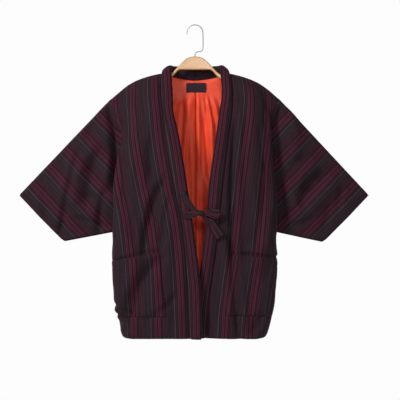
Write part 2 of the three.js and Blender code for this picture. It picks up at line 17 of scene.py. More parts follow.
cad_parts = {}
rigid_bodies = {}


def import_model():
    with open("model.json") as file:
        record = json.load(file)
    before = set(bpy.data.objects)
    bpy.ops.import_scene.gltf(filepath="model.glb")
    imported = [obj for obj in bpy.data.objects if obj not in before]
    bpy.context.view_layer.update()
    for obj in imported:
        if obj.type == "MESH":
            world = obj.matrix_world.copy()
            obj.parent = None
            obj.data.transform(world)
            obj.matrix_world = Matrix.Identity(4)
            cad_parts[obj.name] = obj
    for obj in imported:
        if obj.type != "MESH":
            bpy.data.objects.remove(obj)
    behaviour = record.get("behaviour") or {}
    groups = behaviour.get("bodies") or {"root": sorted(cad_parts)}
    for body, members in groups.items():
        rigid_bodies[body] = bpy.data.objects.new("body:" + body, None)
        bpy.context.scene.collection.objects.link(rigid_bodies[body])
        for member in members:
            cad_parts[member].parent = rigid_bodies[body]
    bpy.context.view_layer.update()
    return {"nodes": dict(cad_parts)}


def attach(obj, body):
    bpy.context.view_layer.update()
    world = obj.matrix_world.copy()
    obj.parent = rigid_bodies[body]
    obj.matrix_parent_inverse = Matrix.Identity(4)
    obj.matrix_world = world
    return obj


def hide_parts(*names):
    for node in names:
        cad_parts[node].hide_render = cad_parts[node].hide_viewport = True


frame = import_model()
MM = 0.001
print("solids:", len(frame["nodes"]))

# %% [markdown]
# ## Camera and lamps
# The coat hangs in front of a white wall and is seen straight on, from far enough away that its
# sleeves look flat. A long lens three metres off gives that look. A soft lamp at the upper left draws
# the creases, and a weaker one near the camera opens their shadows a little.

# %% Camera and lamps
CAMERA_AWAY, VIEW_WIDTH, VIEW_MIDDLE = 3.0, 1.168, (0.0146, -0.5095)
LAMP_SIZE, LAMP_TARGET = 0.7, (0, 0, -0.5)
KEY_STAND, KEY_WATTS = (-1.8, -2.0, 1.2), 104
FRONT_STAND, FRONT_WATTS = (0.3, -3.0, 0.3), 32


def soft_lamp(name, stand, watts):
    """A square area lamp at its stand, turned to the coat's chest."""
    lamp = bpy.data.lights.new(name, "AREA")
    lamp.size = LAMP_SIZE
    lamp.energy = watts
    holder = bpy.data.objects.new(name, lamp)
    holder.location = stand
    holder.rotation_euler = (Vector(LAMP_TARGET) - Vector(stand)).to_track_quat("-Z", "Y").to_euler()
    bpy.context.scene.collection.objects.link(holder)


camera_lens = bpy.data.cameras.new("camera")
camera_lens.lens = camera_lens.sensor_width * CAMERA_AWAY / VIEW_WIDTH
camera = bpy.data.objects.new("camera", camera_lens)
camera.location = (VIEW_MIDDLE[0], -CAMERA_AWAY, VIEW_MIDDLE[1])
camera.rotation_euler = (math.radians(90), 0, 0)
bpy.context.scene.collection.objects.link(camera)
bpy.context.scene.camera = camera
soft_lamp("key_lamp", KEY_STAND, KEY_WATTS)
soft_lamp("front_lamp", FRONT_STAND, FRONT_WATTS)
print("camera", CAMERA_AWAY, "m away, lens", round(camera_lens.lens, 1), "mm")

# %% [markdown]
# ## Surround and floor
# The surround is bright behind the coat, as the white wall is, and dim on the camera's side, as the room is.
# An even white one would be simpler, but it fills every crease with light. The floor lies far below and
# only shows when the coat is seen from above.

# %% Surround and floor
WALL_LIGHT, ROOM_LIGHT, WALL_FULL_AT = 0.98, 0.18, 0.75
FLOOR_Y, FLOOR_Z, FLOOR_SIZE = -1.7, -1.3, 2.4

surround = bpy.data.worlds.new("surround")
surround.use_nodes = True
sky_nodes, sky_links = surround.node_tree.nodes, surround.node_tree.links
direction = sky_nodes.new("ShaderNodeTexCoord")
split = sky_nodes.new("ShaderNodeSeparateXYZ")
shade = sky_nodes.new("ShaderNodeMapRange")
shade.interpolation_type = "SMOOTHSTEP"
for name, value in (("From Max", WALL_FULL_AT), ("To Min", ROOM_LIGHT), ("To Max", WALL_LIGHT)):
    shade.inputs[name].default_value = value
sky_links.new(direction.outputs["Generated"], split.inputs[0])
sky_links.new(split.outputs[1], shade.inputs["Value"])
sky_links.new(shade.outputs["Result"], sky_nodes["Background"].inputs["Color"])
bpy.context.scene.world = surround
bpy.context.scene.view_settings.view_transform = "Standard"

floor_shape = bmesh.new()
bmesh.ops.create_grid(floor_shape, x_segments=1, y_segments=1, size=FLOOR_SIZE)
bmesh.ops.translate(floor_shape, verts=floor_shape.verts, vec=(0, FLOOR_Y, FLOOR_Z))
floor_mesh = bpy.data.meshes.new("floor")
floor_shape.to_mesh(floor_mesh)
floor_shape.free()
floor = bpy.data.objects.new("floor", floor_mesh)
bpy.context.scene.collection.objects.link(floor)
print("surround", ROOM_LIGHT, "in front and", WALL_LIGHT, "behind")

# %% [markdown]
# ## Tables and curves
# A pattern cutter writes a coat down as a table of widths at a few heights. The same works here:
# short tables hold the driving sizes in millimetres, and a smooth curve runs through their rows.
# A curve that never overshoots its rows is used, so no bulge appears that the tables don't hold.

# %% Tables and curves


def table(columns, *rows):
    """Rows of numbers under the names of their columns."""
    return [dict(zip(columns.split(), row)) for row in rows]


def through(xs, ys, x):
    """A smooth curve through the points (xs, ys), read at x. It never overshoots them."""
    xs, ys = np.asarray(xs, float), np.asarray(ys, float)
    if xs[0] > xs[-1]:
        xs, ys = xs[::-1], ys[::-1]
    steep = np.diff(ys) / np.diff(xs)
    same_way = steep[:-1] * steep[1:] > 0
    total = np.where(same_way, steep[:-1] + steep[1:], 1)
    inner = np.where(same_way, 2 * steep[:-1] * steep[1:] / total, 0)
    slope = np.concatenate([steep[:1], inner, steep[-1:]])
    x = np.clip(x, xs[0], xs[-1])
    i = np.clip(np.searchsorted(xs, x, side="right") - 1, 0, len(xs) - 2)
    width = xs[i + 1] - xs[i]
    t = (x - xs[i]) / width
    rise = ys[i + 1] - ys[i]
    start, end = slope[i] * width, slope[i + 1] * width
    return ys[i] + t * start + t**2 * (3 * rise - 2 * start - end) + t**3 * (start + end - 2 * rise)


def read(rows, key, column, x):
    """One column of a table at x."""
    return through([row[key] for row in rows], [row[column] for row in rows], x)


def smooth(x):
    """0 up to 0, 1 from 1 on, and a soft step between."""
    x = np.clip(x, 0, 1)
    return x * x * (3 - 2 * x)


def mix(a, b, t):
    return a + (b - a) * t


halfway = float(through((0, 1, 2), (0, 1, 3), 1.5))
print("a curve through 0, 1 and 3 reads", round(halfway, 3), "between its last two rows")

# %% [markdown]
# ## The coat's driving sizes
# These are the sizes that the plain solids are built from: the shoulder line, how far the front and
# back stand from the hanger's plane, the side fold and seam at each height, and the band round the neck.
# Only the hem and the cuffs differ from the solids, by 3 to 7 mm, because that follows the real outline
# better. Shapes are worked out in out, y, z: out is the distance from the coat's middle, on either side.

# %% Driving sizes
HEM_Z, NECK_Z, BACK_NECK_Z, UNDERARM_Z = -908, -139, -160, -603
WALL, COLLAR_THICK = 6, 14
SEAM_GAP, ARMHOLE_GAP = 0.3, 1.2
ARMHOLE_ROUND, ARMHOLE_DEPTH, SLEEVE_DEPTH, CUFF_DEPTH = 12, 16, 25, 19
CORNER_REACH, TURN_SHARE, NECK_SHARE = 26, 0.62, 0.06
SHOULDER_TURN, SHOULDER_LEAN = 45, 0.18
NECK_PACE, BACK_NECK_DROP, SWELL_REACH = 0.8, 48, 80
AFTER_NECK, WAIST_DROP, LEAST_HALF = NECK_SHARE + 0.001, 600, 0.6
PANEL_SHARES = (0, 0.33, 0.66, 0.86, 1)

shoulder_line = table(
    "out z", (95, NECK_Z), (132, -147.5), (166, -159), (190, -171),
    (207, -182.5), (222, -194), (236, -206), (247, -217),
)
depths = table(
    "drop front back", (24, 24, 24), (45, 31, 33), (110, 45, 41), (190, 57, 46),
    (320, 66, 51), (450, 69, 54), (600, 67, 52), (780, 60, 48),
)
sides = table(
    "z left_fold left_seam right_fold right_seam",
    (-217, 193, 246, 207, 244), (-252, 200, 238, 216, 231), (-285, 206, 225, 219, 220),
    (-331, 213, 214, 221, 212), (-393, 223, 211, 223, 211), (-480, 232, 219, 229, 217),
    (-560, 236, 227, 234, 224), (-603, 238, 233, 236, 231), (-620, 237, 239, 234, 237),
    (-690, 236, 241, 234, 239), (-750, 234, 239, 232, 238), (-800, 227, 231, 228, 232),
    (-850, 219, 224, 219, 224), (-890, 211, 216, 209, 214), (-908, 205, 210, 200, 205),
)
COLLAR_COLUMNS = "seam_out seam_y seam_z edge_out edge_y edge_z"
neck_rows = table(
    COLLAR_COLUMNS,
    (0, 34, BACK_NECK_Z, 0, 37, -118), (45, 31, -154, 42, 35, -116), (80, 19, -144, 64, 22, -115),
)
collar_rows = {
    "left": table(
        COLLAR_COLUMNS,
        (95, 0, NECK_Z, 67, 1, -118), (98, -19, -157, 67, -17, -143), (97, -33, -203, 64, -28, -200),
        (92, -43, -247, 62, -39, -247), (83, -56, -331, 44, -55, -331), (61, -65, -463, 22, -67, -463),
        (40, -67, -559, 8, -71, -559), (26.5, -66, -664, -7, -71, -664), (20.5, -63, -758, -17, -71, -758),
        (17, -61, -834, -20, -71, -834), (15, -60, HEM_Z, -21.5, -70, HEM_Z),
    ),
    "right": table(
        COLLAR_COLUMNS,
        (98, 0, NECK_Z, 72, 1, -118), (104, -19, -157, 74, -17, -145), (108, -33, -203, 77, -28, -200),
        (105, -43, -247, 71, -39, -247), (93.5, -56, -331, 59, -55, -331), (77.5, -65, -463, 40, -66, -463),
        (68, -67, -559, 33, -66, -559), (56.5, -60, -664, 21.5, -57, -664), (43.5, -50, -758, 7, -47, -758),
        (34.5, -45, -834, -3, -43, -834), (30.5, -43, HEM_Z, -6, -41, HEM_Z),
    ),
}
cuffs = {
    "left": {"top_out": 513, "top_z": -495, "low_out": 382, "low_z": -631},
    "right": {"top_out": 507, "top_z": -495, "low_out": 373, "low_z": -633},
}
span = cuffs["left"]["top_out"] + cuffs["right"]["top_out"]
print("coat length", NECK_Z - HEM_Z, "mm, cuff to cuff", span, "mm")

# %% [markdown]
# ## How deep the coat hangs
# The coat is flat at the shoulders, where the hanger carries it, and opens downwards as the cloth falls
# free. Its armholes and sleeves are flattened tubes with a round edge. The inner edge of a front is the
# seam of the neck band, and that of the back is the neck and then the centre seam.

# %% Depths and edges


def round_edge(distance, depth):
    """Half the depth of a flattened tube at a distance from its rounded edge."""
    radius = np.minimum(ARMHOLE_ROUND, depth)
    near = radius - np.clip(distance, 0, radius)
    swelled = mix(radius, depth, smooth((distance - radius) / SWELL_REACH))
    return np.where(distance < radius, np.sqrt(radius**2 - near**2), swelled)


def shoulder_z(out):
    return read(shoulder_line, "out", "z", out)


def depth_at(face, drop):
    """How far the front or back stands from the hanger's plane at a drop below the shoulder."""
    if drop >= SHOULDER_TURN:
        return read(depths, "drop", face, drop)
    turned = read(depths, "drop", face, SHOULDER_TURN) - SHOULDER_LEAN * SHOULDER_TURN
    share = drop / SHOULDER_TURN
    return turned * math.sqrt(share * (2 - share)) + SHOULDER_LEAN * drop


def numbered(rows):
    """The rows with their number as one more column, so that a curve can run through them."""
    return [{**row, "step": step} for step, row in enumerate(rows)]


def neck_station(side, along):
    """The rows of the neck from the shoulder to the back, and the step along them that is reached."""
    rows = numbered([collar_rows[side][0], *reversed(neck_rows)])
    return rows, len(neck_rows) * (along / NECK_SHARE) ** NECK_PACE


def inner_edge(side, along):
    """The inner edge of a body panel: the collar seam in front, then the neck and the centre back."""
    if along <= 0:
        z = mix(NECK_Z, HEM_Z, -along)
        rows = collar_rows[side]
        return read(rows, "seam_z", "seam_out", z), read(rows, "seam_z", "seam_y", z), z
    if along < NECK_SHARE:
        rows, step = neck_station(side, along)
        return tuple(read(rows, "step", column, step) for column in ("seam_out", "seam_y", "seam_z"))
    z = mix(BACK_NECK_Z, HEM_Z, (along - NECK_SHARE) / (1 - NECK_SHARE))
    return 0, depth_at("back", BACK_NECK_Z - z + BACK_NECK_DROP), z


waist = [float(depth_at(face, WAIST_DROP)) for face in ("front", "back")]
print("the coat is", round(sum(waist)), "mm deep at its waist")

# %% [markdown]
# ## The hang of the body
# Each half of the body is one length of cloth, from the front hem over the shoulder to the back hem.
# A row across it starts at the neck band's seam, goes over the flat of the chest, turns at the side fold
# and ends at the armhole or the side seam. Five points a row, joined by a smooth curve, give that shape.

# %% The hang of the body


def shoulder_starts(side):
    """Where the lines down a panel start on the shoulder: its middle, corner, fold and seam."""
    fold, seam = sides[0][side + "_fold"], sides[0][side + "_seam"]
    corner = fold - CORNER_REACH
    return mix(collar_rows[side][0]["seam_out"], corner, 0.5), corner, fold, seam


def panel_row(side, along):
    """The five points of a row: along is -1 at the front hem, 0 on the shoulder, 1 at the back hem."""
    face, sign = ("front", -1) if along <= 0 else ("back", 1)
    drop = abs(along)
    first = inner_edge(side, along)
    tops = [float(shoulder_z(out)) for out in shoulder_starts(side)]
    heights = [mix(top, HEM_Z, drop) for top in tops]
    deep = [depth_at(face, top - z) for top, z in zip(tops, heights)]
    fold = read(sides, "z", side + "_fold", heights[2])
    seam = read(sides, "z", side + "_seam", heights[3])
    hole = round_edge(min(tops[3] - heights[3], heights[3] - UNDERARM_Z), ARMHOLE_DEPTH)
    corner = fold - CORNER_REACH
    return [
        first,
        (mix(first[0], corner, 0.5), sign * deep[0], heights[0]),
        (corner, sign * deep[1], heights[1]),
        (fold, sign * TURN_SHARE * deep[2], heights[2]),
        (seam, sign * max(hole, LEAST_HALF if drop else 0), heights[3]),
    ]


def panel_grid(side, across, alongs):
    """Points of the coat's outer face, a row for each along and a column for each share across."""
    grid = np.empty((len(alongs), len(across), 3))
    for j, along in enumerate(alongs):
        points = panel_row(side, along)
        for axis in range(3):
            grid[j, :, axis] = through(PANEL_SHARES, [p[axis] for p in points], across)
    return grid


def facing(grid):
    """The direction out of the cloth at each point of a grid."""
    normal = np.cross(np.gradient(grid, axis=1), np.gradient(grid, axis=0))
    return normal / np.maximum(np.linalg.norm(normal, axis=2, keepdims=True), 1e-9)


def run_along(grid, axis):
    """The distance walked over the cloth from the grid's first row or column to each point."""
    steps = np.linalg.norm(np.diff(grid, axis=axis), axis=2)
    first = np.zeros_like(np.take(steps, [0], axis=axis))
    return np.cumsum(np.concatenate([first, steps], axis=axis), axis=axis)


chest = panel_row("right", -0.3)
print("a row across the right chest ends", round(float(chest[-1][0])), "mm from the middle")

# %% [markdown]
# ## Creases
# Thick wadded cloth doesn't crumple into sharp lines. It makes wide soft troughs with a low ridge beside
# them, from a strained place such as the armpit, a tie or a pocket corner. Each crease below is listed with
# its two ends, how wide it is, how deep, and how far it bows. A slow, seeded unevenness of the
# wadding is laid over them, longer along the coat than across it.

# %% Creases and wadding
CREASE_STRENGTH, CREASE_FADE = 1.9, 0.3
RIDGE_SHARE, RIDGE_AWAY, RIDGE_WIDE = 0.45, 1.9, 1.1
SMALL_HEIGHT, SMALL_SIZE, SMALL_SEED = 0.5, 2.1, 9


def creases(rows, x, z):
    """How far the creases of a table sink the cloth at x, z. A ridge lies to one side of each."""
    total = np.zeros_like(x)
    for c in rows:
        length = math.hypot(c["x2"] - c["x1"], c["z2"] - c["z1"])
        ux, uz = (c["x2"] - c["x1"]) / length, (c["z2"] - c["z1"]) / length
        t = ((x - c["x1"]) * ux + (z - c["z1"]) * uz) / length
        off = (x - c["x1"]) * -uz + (z - c["z1"]) * ux - c["bow"] * 4 * t * (1 - t)
        fade = smooth(t / CREASE_FADE + 0.5) * smooth((1 - t) / CREASE_FADE + 0.5)
        trough = np.exp(-((off / c["wide"]) ** 2))
        ridge = np.exp(-(((off - RIDGE_AWAY * c["wide"]) / (RIDGE_WIDE * c["wide"])) ** 2))
        total += CREASE_STRENGTH * c["deep"] * fade * (trough - RIDGE_SHARE * ridge)
    return total


def wadding(x, z, seed, size=46, stretch=2.4, height=1.0):
    """The slow unevenness of a wadded wall, in millimetres: wide swells with small ones on them."""
    flat = [
        noise.noise((a / size, b / size / stretch, seed))
        + SMALL_HEIGHT * noise.noise((a / size * SMALL_SIZE, b / size, seed + SMALL_SEED))
        for a, b in zip(x.ravel(), z.ravel())
    ]
    return height * np.array(flat).reshape(x.shape)


def sunk(distance, reach, depth):
    """How far cloth rolls in towards a seam or edge, like a quarter circle, at a distance from it."""
    near = 1 - np.clip(distance / reach, 0, 1)
    return depth * (1 - np.sqrt(1 - near**2))


def full(distance, reach, least):
    """The share of the wadding that is left at a distance from a seam."""
    near = 1 - np.clip(distance / reach, 0, 1)
    return least + (1 - least) * np.sqrt(1 - near**2)


print("a crease of depth 5 in a table sinks the cloth by", 5 * CREASE_STRENGTH, "mm")

# %% [markdown]
# ## From a grid of points to a piece of cloth
# A sheet starts as one of Blender's grids, and each of its vertices is then set by the formulas above. The
# map of the weave goes with it: one coordinate runs across the stripes, the other along the thread, both
# in metres, so that every stripe has its true width. A box could be cut and bent to the same form, but a
# grid keeps the threads in order, which the stripes need.

# %% Places and pieces


def place(grid, side):
    """A grid of out, y, z in millimetres at its place in metres."""
    placed = np.array(grid) * MM
    if side == "left":
        placed[..., 0] *= -1
    return placed


def weave_map(across, along):
    """The weave map in metres, from distances across the stripes and along them in millimetres."""
    return np.stack(np.broadcast_arrays(across * MM, along * MM), axis=2)


def new_piece(name, shape, materials, node=None):
    """An object from a bmesh, smooth shaded, riding on the coat's one body."""
    mesh = bpy.data.meshes.new(name)
    shape.to_mesh(mesh)
    shape.free()
    mesh.shade_smooth()
    for material in materials:
        mesh.materials.append(material)
    piece = bpy.data.objects.new(name, mesh)
    bpy.context.scene.collection.objects.link(piece)
    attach(piece, "root")
    if node:
        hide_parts(node)
    return piece


print("one millimetre is", MM, "m, and every piece rides on the coat's one body")

# %% [markdown]
# ## Sheets and their walls
# The sheet is turned so that its outer face looks out. A tube is closed by joining its first and last
# column, and solid pieces get caps. The Solidify modifier gives a sheet its wall, thinner where there is
# little filling, and puts the lining's material on the inner face.

# %% Sheets and walls
WELD = 1e-6


def grid_shape(grid, weave, side, outwards, closed=False, caps=False):
    """A bmesh sheet over a grid of points, with its weave map, facing the same way as outwards."""
    rows, columns = grid.shape[:2]
    placed, ahead = place(grid, side), place(outwards, side)
    if closed:
        placed[:, -1] = placed[:, 0]
    shape = bmesh.new()
    layer = shape.loops.layers.uv.new("weave")
    bmesh.ops.create_grid(shape, x_segments=columns - 1, y_segments=rows - 1, size=1)
    at = {}
    for vertex in shape.verts:
        i = round((vertex.co.x + 1) / 2 * (columns - 1))
        j = round((vertex.co.y + 1) / 2 * (rows - 1))
        at[vertex] = (j, i)
    for vertex, (j, i) in at.items():
        vertex.co = placed[j, i]
    for face in shape.faces:
        for loop in face.loops:
            loop[layer].uv = weave[at[loop.vert]]
    shape.normal_update()
    agree = sum(face.calc_area() * face.normal.dot(Vector(ahead[at[face.verts[0]]])) for face in shape.faces)
    if agree < 0:
        bmesh.ops.reverse_faces(shape, faces=shape.faces)
    if closed:
        bmesh.ops.remove_doubles(shape, verts=shape.verts, dist=WELD)
    if caps:
        edges = [e for e in shape.edges if e.is_boundary]
        bmesh.ops.holes_fill(shape, edges=edges, sides=0)
    return shape


def give_wall(piece, thick, filling=None):
    """A wall under the piece's outer face. filling is the share of it at each vertex."""
    wall = piece.modifiers.new("wall", "SOLIDIFY")
    wall.thickness = thick * MM
    wall.offset = -1
    wall.use_even_offset = False
    wall.material_offset = 1
    wall.material_offset_rim = 0
    if filling is not None:
        group = piece.vertex_groups.new(name="filling")
        for index, share in enumerate(filling.ravel()):
            group.add([index], float(share), "REPLACE")
        wall.vertex_group = "filling"


print("a wall of", WALL, "mm is", round(float(full(0, 10, 0.3)) * WALL, 1), "mm thick at a seam")

# %% [markdown]
# ## The order of the stripes
# The cloth is woven of dark threads, with the stripes in the warp: a fine grey line, a wide charcoal
# stripe, a dull wine one, then burgundy ones with dark threads between. The repeat is 69 mm wide. A dyer
# writes such an order down as a chart, and so does this table: where each stripe starts, in millimetres,
# The chart was set up by looking at the coat.

# %% The stripe chart
REPEAT = 0.069
stripe_chart = table(
    "start red green blue",
    (0.0, 0.0446, 0.0280, 0.0357), (0.9, 0.0130, 0.0078, 0.0106), (9, 0.0186, 0.0086, 0.0129),
    (13, 0.0123, 0.0074, 0.0101), (21, 0.0195, 0.0075, 0.0115), (25, 0.0107, 0.0059, 0.0082),
    (28, 0.0307, 0.0064, 0.0127), (30.5, 0.0102, 0.0045, 0.0066), (33, 0.0326, 0.0064, 0.0132),
    (35.5, 0.0082, 0.0042, 0.0059), (41, 0.0502, 0.0070, 0.0178), (43.4, 0.0093, 0.0040, 0.0057),
    (45, 0.0521, 0.0074, 0.0187), (47.6, 0.0074, 0.0036, 0.0052), (51.6, 0.0521, 0.0074, 0.0187),
    (54, 0.0102, 0.0040, 0.0061), (55.8, 0.0577, 0.0080, 0.0200), (58.6, 0.0093, 0.0046, 0.0068),
    (62, 0.0177, 0.0067, 0.0104), (64.5, 0.0098, 0.0056, 0.0078), (68.3, 0.0446, 0.0280, 0.0357),
)
print("stripes in a repeat:", len(stripe_chart))

# %% [markdown]
# ## Materials made of nodes
# All the materials need the same few things: noise that is stretched along the threads, a chart of
# colours, a bump. Blender's node functions could be called one by one, but a small class keeps each
# material below short, so that it reads as a list of what its threads do.

# %% Node materials


class Finish:
    """A node material: add() makes a node, and its inputs are values or the sockets that feed them."""

    def __init__(self, name, slot_colour, roughness):
        self.material = bpy.data.materials.new(name)
        self.material.use_nodes = True
        self.material.diffuse_color = (*slot_colour, 1)
        self.nodes = self.material.node_tree.nodes
        self.links = self.material.node_tree.links
        self.surface = self.nodes["Principled BSDF"]
        self.surface_has({"Base Color": (*slot_colour, 1), "Roughness": roughness})

    def add(self, kind, inputs=(), **settings):
        node = self.nodes.new("ShaderNode" + kind)
        for key, value in settings.items():
            setattr(node, key, value)
        for key, value in dict(inputs).items():
            self.feed(node.inputs[key], value)
        return node

    def feed(self, socket, value):
        if isinstance(value, bpy.types.NodeSocket):
            self.links.new(value, socket)
        else:
            socket.default_value = value

    def surface_has(self, inputs):
        for name, value in inputs.items():
            self.feed(self.surface.inputs[name], value)

    def math(self, operation, a, b=0.0, c=0.0):
        return self.add("Math", {0: a, 1: b, 2: c}, operation=operation).outputs[0]

    def blend(self, share, a, b, kind="MIX"):
        """Two colours mixed. The Mix node keeps those of its inputs that take colours at 6 and 7."""
        return self.add("Mix", {0: share, 6: a, 7: b}, data_type="RGBA", blend_type=kind).outputs[2]

    def toned(self, colour, tone):
        """A colour made darker or lighter by a tone around 1."""
        grey = self.add("CombineColor", {0: tone, 1: tone, 2: tone})
        return self.blend(1.0, colour, grey.outputs[0], "MULTIPLY")

    def weave_place(self):
        """Where a point lies across and along the threads, from the weave map."""
        weave = self.add("UVMap", uv_map="weave")
        split = self.add("SeparateXYZ", {0: weave.outputs["UV"]})
        return split.outputs[0], split.outputs[1]

    def noise(self, across, along, scale, detail=2.0):
        """Noise over the weave map, stretched by its own scale each way."""
        stretched = [self.math("MULTIPLY", way, factor) for way, factor in zip((across, along), scale)]
        spot = self.add("CombineXYZ", dict(enumerate(stretched)))
        made = self.add("TexNoise", {"Vector": spot.outputs[0], "Scale": 1.0, "Detail": detail})
        return made.outputs["Fac"]

    def own_noise(self, stretch, scale, detail, distortion=0.0):
        """Noise in the piece's own space, for what isn't woven."""
        spot = self.add("Mapping", {"Vector": self.add("TexCoord").outputs["Object"], "Scale": stretch})
        settings = {"Scale": scale, "Detail": detail, "Distortion": distortion}
        return self.add("TexNoise", {"Vector": spot.outputs[0], **settings}).outputs["Fac"]

    def ramp(self, value, stops, kind="LINEAR"):
        node = self.add("ValToRGB", {"Fac": value})
        node.color_ramp.interpolation = kind
        elements = node.color_ramp.elements
        for position, colour in stops[2:]:
            elements.new(min(position, 1.0))
        for element, (position, colour) in zip(elements, stops):
            element.position = min(position, 1.0)
            element.color = (*colour, 1)
        return node.outputs["Color"]

    def bump(self, height, strength, distance, under=None):
        inputs = {"Height": height, "Strength": strength, "Distance": distance}
        if under is not None:
            inputs["Normal"] = under
        return self.add("Bump", inputs).outputs["Normal"]

    def threads(self, across, along, pitch):
        """A plain weave: threads over and under each other, as a height from 0 to 1."""
        turn = 2 * math.pi / pitch
        warp = self.math("SINE", self.math("MULTIPLY", across, turn))
        weft = self.math("SINE", self.math("MULTIPLY", along, turn))
        return self.math("MULTIPLY_ADD", self.math("MULTIPLY", warp, weft), 0.5, 0.5)


print("a finish can make:", *[name for name in vars(Finish) if name[0] != "_"])

# %% [markdown]
# ## The striped cotton
# The chart becomes a colour ramp over the weave map, drawn off line by up to 2 mm, since no warp is
# straight. Hand-spun thread is never even, so each thread gets its own tone, the thickest spots catch the
# light as pale flecks, and the dye fades and deepens along the thread. Three bumps lie on each other:
# the weave, the single threads, and a slow unevenness of several threads together.

# %% Striped cotton
WEAVE_PITCH, STRIPE_WANDER = 0.0011, 0.0016
FLECKS_OVER, FLECK_SHARE, FLECK_COLOUR = 0.7, 0.1, (0.085, 0.055, 0.062, 1)


def striped_cotton():
    finish = Finish("striped_cotton", (0.035, 0.018, 0.024), 0.88)
    across, along = finish.weave_place()
    wander = finish.noise(across, along, (30, 9), 1.0)
    drawn = finish.math("MULTIPLY_ADD", wander, STRIPE_WANDER, across)
    share = finish.math("FRACT", finish.math("DIVIDE", drawn, REPEAT))
    stops = [(row["start"] * MM / REPEAT, (row["red"], row["green"], row["blue"])) for row in stripe_chart]
    chart = finish.ramp(share, stops, "CONSTANT")
    thread = finish.noise(across, along, (1500, 14), 2.0)
    slub = finish.noise(across, along, (700, 60), 1.0)
    dye = finish.noise(across, along, (120, 5), 2.0)
    tone = finish.math("MULTIPLY_ADD", thread, 1.1, 0.45)
    tone = finish.math("MULTIPLY", tone, finish.math("MULTIPLY_ADD", dye, 0.7, 0.66))
    fleck = finish.math("MULTIPLY", finish.math("GREATER_THAN", slub, FLECKS_OVER), FLECK_SHARE)
    fine = finish.bump(finish.threads(across, along, WEAVE_PITCH), 0.35, 0.0003)
    cords = finish.bump(thread, 0.5, 0.0004, fine)
    finish.surface_has({
        "Base Color": finish.blend(fleck, finish.toned(chart, tone), FLECK_COLOUR),
        "Normal": finish.bump(dye, 0.25, 0.002, cords),
        "Roughness": finish.math("MULTIPLY_ADD", thread, 0.16, 0.78),
        "Sheen Weight": 0.07,
        "Sheen Roughness": 0.4,
        "Sheen Tint": (0.55, 0.42, 0.5, 1),
        "Specular IOR Level": 0.12,
    })
    return finish.material


cotton = striped_cotton()
print("material:", cotton.name)

# %% [markdown]
# ## The lining's cloth
# The lining is a thin plain cloth, dyed evenly, with a slight shine. Slow clouds in its orange red and
# a fine weave keep it from looking like plastic. It also covers the inner side of every padded wall.

# %% Lining cloth
SATIN_PITCH = 0.0006


def lining_cloth():
    finish = Finish("lining_satin", (0.70, 0.085, 0.035), 0.5)
    across, along = finish.weave_place()
    thread = finish.noise(across, along, (1900, 30), 2.0)
    cloud = finish.noise(across, along, (16, 9), 3.0)
    colour = finish.ramp(cloud, [(0.25, (0.52, 0.038, 0.014)), (0.75, (0.66, 0.062, 0.026))])
    tone = finish.math("MULTIPLY_ADD", thread, 0.3, 0.85)
    fine = finish.bump(finish.threads(across, along, SATIN_PITCH), 0.15, 0.0002)
    finish.surface_has({
        "Base Color": finish.toned(colour, tone),
        "Normal": finish.bump(thread, 0.2, 0.0003, fine),
        "Roughness": finish.math("MULTIPLY_ADD", thread, 0.12, 0.42),
        "Sheen Weight": 0.06,
        "Sheen Tint": (1.0, 0.5, 0.35, 1),
        "Specular IOR Level": 0.22,
    })
    return finish.material


satin = lining_cloth()
print("material:", satin.name)

# %% [markdown]
# ## Wood, steel, tape and thread
# The small parts aren't woven on a map, so their noise is taken from their own space: long in the grain
# of the beech, and drawn out along the wire of the hook. The label is a tape with fine ribs, with painted
# shade: its colour is darker in the grooves between the ribs and lighter on their tops.

# %% Wood, steel, tape and thread
TAPE_RIB = 0.0009


def beech_wood():
    finish = Finish("beech", (0.80, 0.47, 0.19), 0.4)
    rings = finish.own_noise((9, 60, 90), 2.2, 4.0, 0.6)
    pores = finish.own_noise((120, 1500, 1500), 1.0, 1.0)
    grain = finish.ramp(rings, [(0.3, (0.43, 0.225, 0.080)), (0.7, (0.35, 0.170, 0.052))])
    finish.surface_has({
        "Base Color": finish.blend(finish.math("MULTIPLY", pores, 0.25), grain, (0.29, 0.135, 0.04, 1)),
        "Normal": finish.bump(pores, 0.15, 0.0004),
        "Coat Weight": 0.35,
        "Coat Roughness": 0.2,
    })
    return finish.material


def bright_steel():
    finish = Finish("bright_steel", (0.60, 0.60, 0.61), 0.28)
    drawn = finish.own_noise((2200, 2200, 120), 1.0, 2.0)
    finish.surface_has({
        "Metallic": 1.0,
        "Normal": finish.bump(drawn, 0.08, 0.0001),
        "Roughness": finish.math("MULTIPLY_ADD", drawn, 0.15, 0.2),
    })
    return finish.material


def label_tape():
    finish = Finish("label_tape", (0.028, 0.018, 0.028), 0.85)
    split = finish.add("SeparateXYZ", {0: finish.add("TexCoord").outputs["Object"]})
    ribs = finish.math("SINE", finish.math("MULTIPLY", split.outputs[2], 2 * math.pi / TAPE_RIB))
    # painted shade: the tape's colour follows the ribs, darker in their grooves and lighter on their tops
    tone = finish.math("MULTIPLY_ADD", ribs, 0.1, 0.5)
    finish.surface_has({
        "Base Color": finish.ramp(tone, [(0.3, (0.014, 0.008, 0.012)), (0.7, (0.026, 0.015, 0.022))]),
        "Normal": finish.bump(ribs, 0.3, 0.0002),
        "Specular IOR Level": 0.15,
    })
    return finish.material


def sewing_thread():
    finish = Finish("sewing_thread", (0.05, 0.02, 0.03), 0.7)
    ply = finish.own_noise((1, 1, 1), 2600.0, 1.0)
    finish.surface_has({
        "Base Color": finish.ramp(ply, [(0.35, (0.045, 0.016, 0.026)), (0.65, (0.085, 0.035, 0.05))]),
        "Normal": finish.bump(ply, 0.4, 0.0002),
    })
    return finish.material


beech, steel, tape, stitching = beech_wood(), bright_steel(), label_tape(), sewing_thread()
print("materials:", beech.name, steel.name, tape.name, stitching.name)
